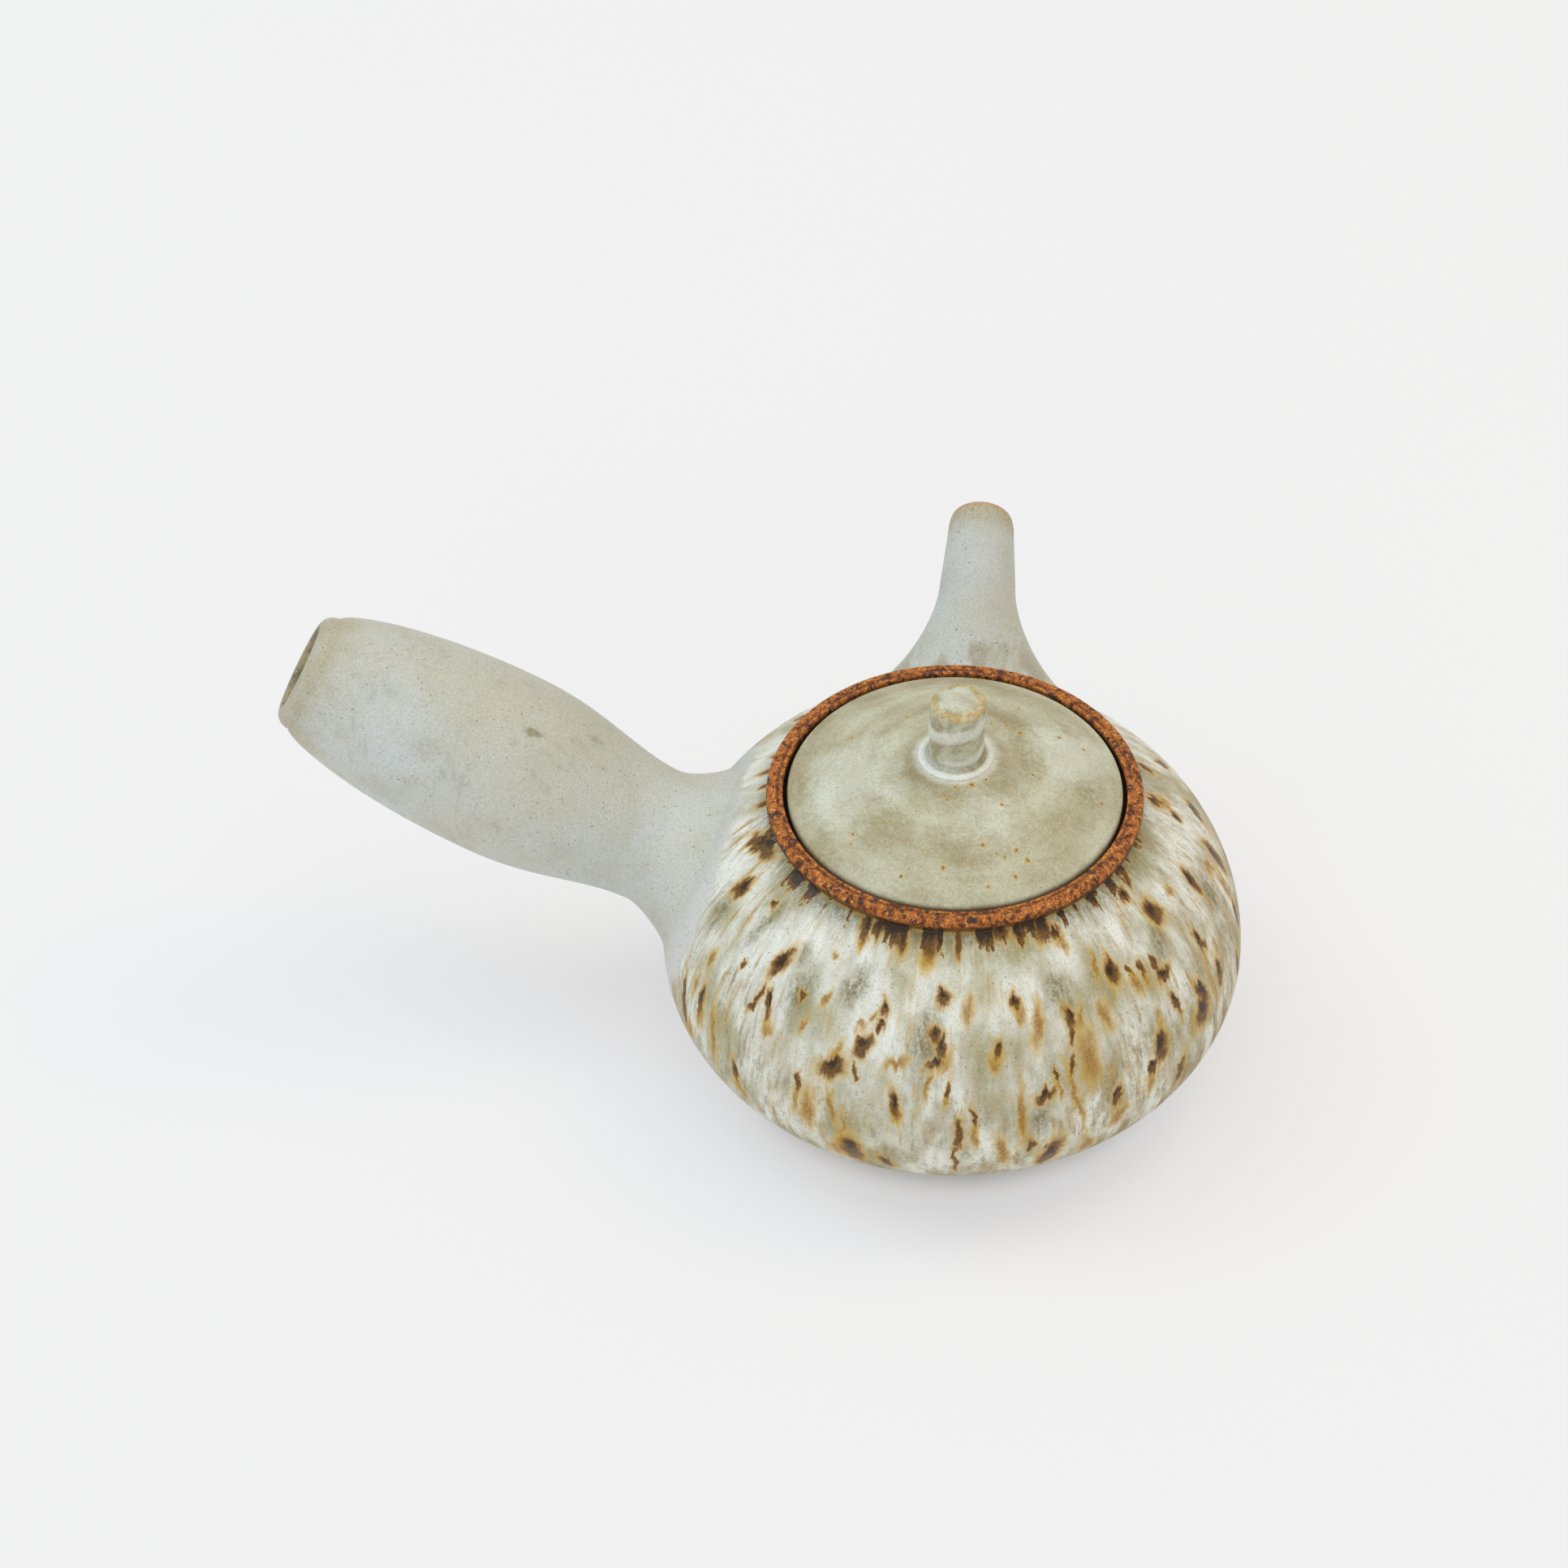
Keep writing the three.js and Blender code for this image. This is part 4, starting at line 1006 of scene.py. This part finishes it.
def pot_material():
    coat = Coat("pot_glaze")
    chart, climb = chart_of(coat)
    drum = drum_of(coat, climb, 2.2)
    long_drum = drum_of(coat, climb, 10)
    # Streaked ends: the marks are pulled up and down by fine noise that runs down the wall
    comb = coat.sway(4, 1, where=long_drum)
    ragged = coat.shifted(coat.shifted(chart, 2.4, 2.6), 0.8, 0.8)
    ragged = coat.vector("ADD", ragged, coat.joined(0, comb, 0))

    # low grows toward the bottom of the pot. The beige, olive and strokes it adds there are partly the glaze and
    # partly painted shade on the lower belly
    low = climb.fade(26, -12)
    clouds = coat.noise(11, 3, where=drum_of(coat, climb, 1.25))
    fine = coat.noise(0.9, 3, 0.65) - 0.5
    colour = coat.blend((clouds + fine * 0.22).fade(0.3, 0.62), CELADON, WHITE)
    # Beige veils and thin ochre threads that run down the wall
    veil = coat.noise(3.2, 3, where=drum) + fine * 0.28
    # More beige toward the right: partly the glaze, partly painted warm light from the lamp on that side
    right_tint_and_warm_light = coat.x.fade(-10, 50)
    colour = colour.under(veil.fade(0.36, 0.7) * (0.24 + low * 0.5 + right_tint_and_warm_light * 0.36), BEIGE)
    patchy = coat.noise(9)
    threads = coat.noise(1.4, where=drum_of(coat, climb, 7)) + fine * 0.18
    edges = coat.x.maths("ABSOLUTE").fade(18, 48)
    colour = colour.under(threads.fade(0.5, 0.74) * patchy.fade(0.3, 0.6) * (0.5 + edges * 0.4), STRAW)
    colour = colour.under(threads.fade(0.58, 0.74) * (0.15 + edges * 0.35), OCHRE)
    elsewhere = coat.vector("ADD", drum, (40, 9, 3))
    mottle = coat.noise(0.55, 3, 0.75).fade(0.34, 0.66)
    shade = (coat.noise(2.4, 3, 0.55, elsewhere) + fine * 0.35).fade(0.48, 0.8)
    colour = colour.under(shade * (0.34 + mottle * 0.24) * (0.35 + low * 0.65), MOSS)
    # Short strokes of olive-brown, thickest low down and round to the sides
    strokes = coat.noise(0.8, 3, 0.6, drum_of(coat, climb, 5)) + fine * 0.2
    crowded = (coat.noise(5, where=elsewhere) * 0.7 + low * 0.25 + edges * 0.15).fade(0.3, 0.62)
    colour = colour.under(strokes.fade(0.52, 0.68) * crowded * 0.5, MOSS)
    colour = dusted(coat, colour)

    streaked = coat.noise(0.8, 3, 0.6, drum).fade(0.36, 0.64)
    smoke = nearest(coat, ragged, marks_seen(SMOKE_SEEN)).fade(1.4, 0.1)
    colour = colour.under(smoke * (0.16 + mottle * 0.44 + streaked * 0.4), SMOKE)

    ochre = nearest(coat, ragged, [*marks_seen(OCHRE_SEEN), *OCHRE_UNSEEN])
    colour = colour.under(ochre.fade(1.7, 0.8) * 0.6, STRAW)
    colour = colour.under(ochre.fade(1.15, 0.3) * (0.5 + mottle * 0.4), OCHRE)

    dark_runs = [*marks_seen(DARK_SEEN), *DARK_UNSEEN]
    dark = nearest(coat, ragged, dark_runs)
    # The wider dark runs have a core, a little above their middle
    cores = [
        (angle, up + length * 0.18, width * 0.66, length * 0.6, lean)
        for angle, up, width, length, lean in dark_runs if width > CORED_WIDTH
    ]
    core = nearest(coat, ragged, cores)
    # Runs that hang under the rim: their length follows noise round the pot
    below_rim = RIM_EDGE_CLIMB - climb
    facing = (coat.y / coat.radius.at_least(1) * -1).fade(-0.1, 0.75)
    spurs = (coat.noise(3.4, where=long_drum) + fine * 0.2).fade(0.48, 0.6)
    reach = 0.2 + (spurs * (2.6 + streaked * 2) + 0.4) * (0.3 + facing * 0.7)
    zone = below_rim.fade(8, 0.5)
    band = below_rim.fade(4.2, 0.8) * (0.35 + facing * 0.65)
    colour = colour.under(zone * (0.15 + streaked * 0.3 + mottle * 0.35) * (0.5 + facing * 0.5), MOSS)
    colour = colour.under(band * (0.2 + streaked * 0.55), MOSS)
    dark = dark.at_most(1 + (below_rim - reach) / 0.9)
    core = core.at_most(1.1 + (below_rim - reach * 0.7) / 1.2)

    colour = colour.under(dark.fade(1.9, 0.95) * 0.55, STRAW)
    colour = colour.under(dark.fade(1.25, 0.75) * (0.6 + mottle * 0.3), OCHRE)
    colour = colour.under(dark.fade(1, 0.55) * (0.68 + mottle * 0.27), UMBER)
    colour = colour.under(core.fade(0.95, 0.35) * (0.75 + mottle * 0.2), IRON)

    # The plain glaze round the feet of the handle and the spout, and on the pot's inside
    behind = coat.y.fade(-5, 22)
    wobble = coat.sway(3, 6) + coat.sway(26, 12, 3, 0.6) * behind
    handle_spread, handle_out = off_axis(coat, handle_axis)
    over_foot = upper_of(coat, handle_axis).fade(10, 22)
    beside_handle = (handle_spread + wobble + over_foot * 5).fade(*PLAIN_BY_HANDLE) * handle_out.fade(20, 30)
    spout_spread, spout_out = off_axis(coat, spout_axis)
    beside_spout = (spout_spread + wobble).fade(*PLAIN_BY_SPOUT) * spout_out.fade(15, 25)
    up = coat.z - EQUATOR_HEIGHT
    dome = (up * (BODY_RADIUS / OUTSIDE["above"])).at_least(up * (-BODY_RADIUS / OUTSIDE["below"]))
    inner_wall = ((coat.radius**2 + dome**2) ** 0.5).fade(*PLAIN_INSIDE)
    bare_band = beside_handle.at_least(beside_spout).at_least(inner_wall)
    colour = colour.under(bare_band, dusted(coat, plain_glaze(coat)))

    # Bare rim, gallery and base, with painted shade on the rim's lower edge, in its groove and down into the
    # gallery
    clay, grain = clay_colour(coat)
    uneven_z = coat.z + coat.sway(0.5, 1.3)
    bare_rim = uneven_z.fade(RIM_EDGE_HEIGHT - 0.2, RIM_EDGE_HEIGHT + 0.2)
    inside = coat.radius.fade(GALLERY_RADIUS + 0.3, GALLERY_RADIUS)
    bare_inside = inside * coat.z.fade(NECK_HEIGHT - 4, NECK_HEIGHT - 3)
    base = coat.z.fade(0.5, 0.2)
    bare = bare_rim.at_least(bare_inside).at_least(base)
    # Painted shade: the lower edge of the bare rim band is darkened where it turns down toward the overhang
    rim_edge_shade = uneven_z.fade(RIM_EDGE_HEIGHT + 0.8, RIM_EDGE_HEIGHT + 0.1)
    clay = clay.under(rim_edge_shade * 0.7, RUST_DARK)
    # Painted shade: the rim's groove is darkened in patches
    from_groove = (coat.radius - RIM_GROOVE_RADIUS).maths("ABSOLUTE")
    groove = from_groove.fade(0.45, 0.15) * coat.noise(3).fade(0.36, 0.56)
    clay = clay.under(groove * 0.7, RUST_DARK)
    # Painted shade: the rim's inner wall and the gallery under the lid are made near-black, for the dark gap
    # between rim and lid
    gallery_shade = inside * coat.z.fade(BODY_HEIGHT - 0.5, BODY_HEIGHT - 1.6)
    clay = clay.under(gallery_shade * 0.9, IRON)
    colour = colour.under(bare, clay)

    grit = coat.bump(grain * bare, GRIT_RELIEF, glaze_skin(coat))
    roughness = 0.5 + coat.sway(0.16, 3) + bare * 0.35 - dark.fade(1, 0.4) * 0.12
    return coat.finish(colour, roughness, grit, GLAZE_SHEEN)


def handle_material():
    coat = Coat("handle_glaze")
    spread, along = off_axis(coat, handle_axis)
    colour = plain_glaze(coat)
    # The upper side is warmer and darker: partly the glaze's olive tint, partly painted warm light from above
    top_tint_and_warm_light = (upper_of(coat, handle_axis) + coat.sway(9, 9, 3, 0.55)).fade(3, 18) * along.fade(64, 84)
    colour = colour.under(top_tint_and_warm_light * 0.42, SMUDGE)
    upright = coat.vector("MULTIPLY", coat.place, (1, 1, 0.3))
    wisps = coat.noise(2.2, 3, 0.6, upright) * 0.7 + coat.noise(9, where=upright) * 0.3
    colour = colour.under(wisps.fade(0.52, 0.7) * along.fade(66, 80) * 0.35, WISP)
    wander = coat.shifted(coat.place, 1.6, 1.6)
    for x, y, radius, sizes, strength in HANDLE_SPOTS_SEEN:
        middle = seen_on_handle(x, y, radius).tolist()
        given = {"Vector": wander, "Location": middle, "Rotation": (0, HANDLE_SPOT_TURN, 0), "Scale": sizes}
        reach = coat.length(coat.node("Mapping", {"vector_type": "TEXTURE"}, given))
        colour = colour.under(reach.fade(1.3, 0.5) * strength * 0.8, MOSS)
        colour = colour.under(reach.fade(0.7, 0.2) * strength * 0.7, FAWN)
    from_tip = HANDLE_TIP_ALONG - along
    behind_lip = (from_tip - coat.sway(5, 2.6, 3, 0.6)).fade(10, 2)
    patches = coat.noise(5, 3).fade(0.2, 0.6)
    sand = coat.noise(0.6, 2, 0.6).fade(0.55, 0.7)
    colour = colour.under(behind_lip * (0.25 + patches * 0.4 - sand * 0.2), FAWN)
    inner_lip = from_tip.fade(3, 1.5) * spread.fade(8.9, 8.2)
    bore = spread.fade(8.8, 8.4) * from_tip.fade(30, 5)
    inside = inner_lip.at_least(bore)
    lining = coat.blend(coat.noise(3, 3, 0.6).fade(0.35, 0.6), MOSS, FAWN)
    lining = lining.under(sand * 0.4, BEIGE)
    colour = dusted(coat, colour.under(inside * 0.9, lining))
    return coat.finish(colour, 0.56 + coat.sway(0.14, 3), glaze_skin(coat), PALE_SHEEN)


def spout_material():
    coat = Coat("spout_glaze")
    spread, along = off_axis(coat, spout_axis)
    colour = plain_glaze(coat)
    from_tip = SPOUT_TIP_ALONG - along
    from_cut = from_tip + upper_of(coat, spout_axis) * SPOUT_CUT_SLOPE
    sand = coat.noise(0.7, 3, 0.6).fade(0.4, 0.62)
    worn = (from_cut + coat.sway(3, 2, 3)).fade(6.4, 0.8)
    colour = colour.under(worn * (0.65 + sand * 0.3), FAWN)
    worn_edge = (from_cut + coat.sway(0.9, 0.9)).fade(1.5, 0.2)
    colour = colour.under(worn_edge * (0.35 + sand * 0.3), SAND)
    bore = spread.fade(5, 4.4) * from_tip.fade(30, 20)
    colour = dusted(coat, colour.under(bore, MOSS), 1.25)
    return coat.finish(colour, 0.56 + coat.sway(0.14, 3), glaze_skin(coat), PALE_SHEEN)


def lid_material():
    coat = Coat("lid_glaze")
    turn = coat.maths("ARCTAN2", coat.y, coat.x)
    # One slow spiral of beige through the pale glaze, broken up by soft clouds
    wound = coat.radius * (FULL_TURN / LID_SPIRAL_PITCH) - turn
    spiral = (wound + LID_SPIRAL_START).maths("SINE")
    clouds = coat.noise(9, 3)
    small = coat.noise(1.1, 3, 0.65)
    outward = 5 / coat.radius.at_least(1)
    swept = coat.joined(coat.x * outward, coat.y * outward, coat.radius)
    rings = coat.noise(2.4, 3, 0.55, swept)
    veil = clouds * 0.55 + rings * 0.35 + spiral * 0.07 + small * 0.3
    colour = coat.blend(veil.fade(0.28, 0.9), LID_PALE, LID_BEIGE)
    near_knob = coat.radius.fade(12, 7.5)
    colour = colour.under(near_knob * 0.45, LID_BEIGE)
    for x, y, reach in LID_PALE_PLACES:
        away = coat.length(coat.vector("SUBTRACT", coat.place, (x, y, BODY_HEIGHT + LID_RISE / 2)))
        pale = (away / reach + (clouds + small - 1) * 0.8).fade(1.1, 0.2)
        colour = colour.under(pale * 0.5, LID_WHITE)
    pooled = (coat.radius + (small - 0.5)).fade(8.8, 7)
    colour = colour.under(pooled * 0.6, WHITE)
    level = coat.vector("MULTIPLY", coat.shifted(coat.place, 0.7, 0.9), (1, 1, 0))

    def distances():
        for x, y, size in LID_SPOTS_SEEN:
            spot = (*seen_on_lid(x, y)[:2].tolist(), 0)
            yield coat.length(coat.vector("SUBTRACT", level, spot)) / size

    distance = functools.reduce(Value.at_most, distances())
    colour = colour.under(distance.fade(1.9, 0.8) * 0.5, STRAW)
    colour = colour.under(distance.fade(0.95, 0.35) * 0.8, OCHRE)
    colour = colour.under(distance.fade(0.6, 0.2) * 0.6, UMBER)
    colour = dusted(coat, colour, 0.8)
    thrown = coat.bump((wound * 2).maths("SINE"), THROWN_RELIEF, glaze_skin(coat))
    clay = clay_colour(coat)[0]
    beneath = coat.z.fade(SEAT_HEIGHT + 0.5, SEAT_HEIGHT + 0.2)
    return coat.finish(colour.under(beneath, clay), 0.5 + coat.sway(0.16, 3), thrown, GLAZE_SHEEN)


def knob_material():
    coat = Coat("knob_glaze")
    up = coat.z - KNOB_BASE_HEIGHT
    turn = coat.maths("ARCTAN2", coat.y, coat.x)
    climb = (up - KNOB_STEM_START) / (KNOB_HEAD_START - KNOB_STEM_START) * (KNOB_RIDGE_COUNT * FULL_TURN)
    wound = climb - turn + coat.sway(2, 5)
    from_top = KNOB_HEIGHT - up
    ridge = wound.maths("SINE").fade(-0.1, 0.9) * from_top.fade(0.6, 1.8)
    colour = coat.blend(coat.noise(2.6, 3, 0.6).fade(0.36, 0.7) * 0.8, LID_PALE, LID_BEIGE)
    hollow = ridge.fade(0.5, 0) * coat.noise(2.4, 3, 0.6).fade(0.35, 0.7)
    colour = colour.under(hollow * 0.22, SMOKE)
    colour = colour.under(ridge * (0.3 + coat.noise(4) * 0.6), WHITE)
    groove = up.fade(2.4, 1.4) * coat.radius.fade(6, 5.4)
    speckled = coat.noise(0.6, 2, 0.7).fade(0.45, 0.6)
    colour = colour.under(groove * (0.28 + speckled * 0.2), SMOKE)
    colour = colour.under(coat.radius.fade(5.4, 6.4) * 0.8, WHITE)
    top_edge = from_top.fade(1.5, 0.9) * coat.radius.fade(3.5, 4.3)
    broken = coat.noise(1.3, 3, 0.65).fade(0.38, 0.56)
    colour = colour.under(top_edge * (0.25 + broken * 0.35), STRAW)
    colour = colour.under(top_edge * broken * 0.3, OCHRE)
    crown = from_top.fade(0.6, 0.3) * coat.radius.fade(3.9, 2.4)
    colour = dusted(coat, colour.under(crown * 0.3, LID_WHITE))
    return coat.finish(colour, 0.52 + coat.sway(0.14, 3), glaze_skin(coat), GLAZE_SHEEN)


def clay_material():
    coat = Coat("bare_clay")
    colour, grain = clay_colour(coat)
    return coat.finish(colour, DRY_ROUGHNESS, coat.bump(grain, CLAY_RELIEF), CLAY_SHEEN)


def table_material():
    """White paper. What the camera sees of it is partly its own light, which keeps the shadows pale."""
    coat = Coat("paper_sweep")
    tone = coat.noise(90, 3).fade(0.3, 0.7)
    colour = coat.blend(tone * 0.3, PAPER, PAPER_DULL)
    coat.finish(colour, DRY_ROUGHNESS, coat.bump(coat.noise(1.5), PAPER_RELIEF), PAPER_SHEEN)
    ray = coat.tree.nodes.new("ShaderNodeLightPath").outputs
    camera_ray, glossy_ray, let_through = (
        Value(coat, ray[f"Is {kind} Ray"]) for kind in ("Camera", "Glossy", "Transmission")
    )
    # Painted shade: the glow fades out toward the pot's foot, so the floor under the pot shows darker
    seen = (camera_ray + glossy_ray + let_through).at_most(1) * coat.radius.fade(*PAPER_SHADE_REACH)
    glow = coat.node("Emission", None, {"Color": PAPER_SEEN, "Strength": 1})
    shader = Value(coat, coat.shader.outputs[0])
    mixed = coat.node("MixShader", None, {0: seen * PAPER_GLOW, 1: shader, 2: glow})
    coat.feed(coat.tree.nodes["Material Output"].inputs["Surface"], mixed)
    return coat.material


def dress(piece, material, slot, body, *nodes):
    piece.data.materials.clear()
    piece.data.materials.append(material)
    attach(piece, body)
    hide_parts(*nodes)


clay = clay_material()
dress(make_pot(), pot_material(), "body_glaze", "pot", "pot_body")
dress(make_handle(), handle_material(), "pale_glaze", "pot", "side_handle")
dress(make_spout(), spout_material(), "pale_glaze", "pot", "spout")
dress(make_lid(), lid_material(), "lid_glaze", "lid", "lid_plate")
dress(make_flange(), clay, "bare_clay", "lid", "lid_flange")
dress(make_knob(), knob_material(), "lid_glaze", "lid", "lid_knob")
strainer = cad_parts["strainer"]
strainer.data.materials.clear()
strainer.data.materials.append(clay)

# Table
reach = TABLE_REACH
table_mesh = bpy.data.meshes.new("table")
corners = [(-reach, -reach, 0), (reach, -reach, 0), (reach, reach, 0), (-reach, reach, 0)]
table_mesh.from_pydata(corners, [], [(0, 1, 2, 3)])
table_mesh.materials.append(table_material())
table_top = added("table", table_mesh)

for name, place, size, power, colour in LIGHTS:
    light = bpy.data.lights.new(name, "AREA")
    light.shape, light.size, light.energy, light.color = "SQUARE", size, power, colour
    lamp = added(name, light)
    lamp.location = place
    lamp.rotation_euler = (Vector(LIGHTS_AIM) - Vector(place)).to_track_quat("-Z", "Y").to_euler()

world = bpy.data.worlds.new("room")
bpy.context.scene.world = world
world.use_nodes = True
background = world.node_tree.nodes["Background"]
background.inputs["Color"].default_value = ROOM_COLOUR
background.inputs["Strength"].default_value = ROOM_STRENGTH

# Camera
camera_data = bpy.data.cameras.new("camera")
camera_data.sensor_width = SENSOR_WIDTH
camera_data.lens = SENSOR_WIDTH * PIXELS_PER_MM * CAMERA_DISTANCE / PHOTO_WIDTH
camera = added("camera", camera_data)
camera.location = EYE * MM
camera.rotation_euler = (QUARTER_TURN - rise, 0, swing)
bpy.context.scene.camera = camera

bpy.context.scene.view_settings.view_transform = "Standard"
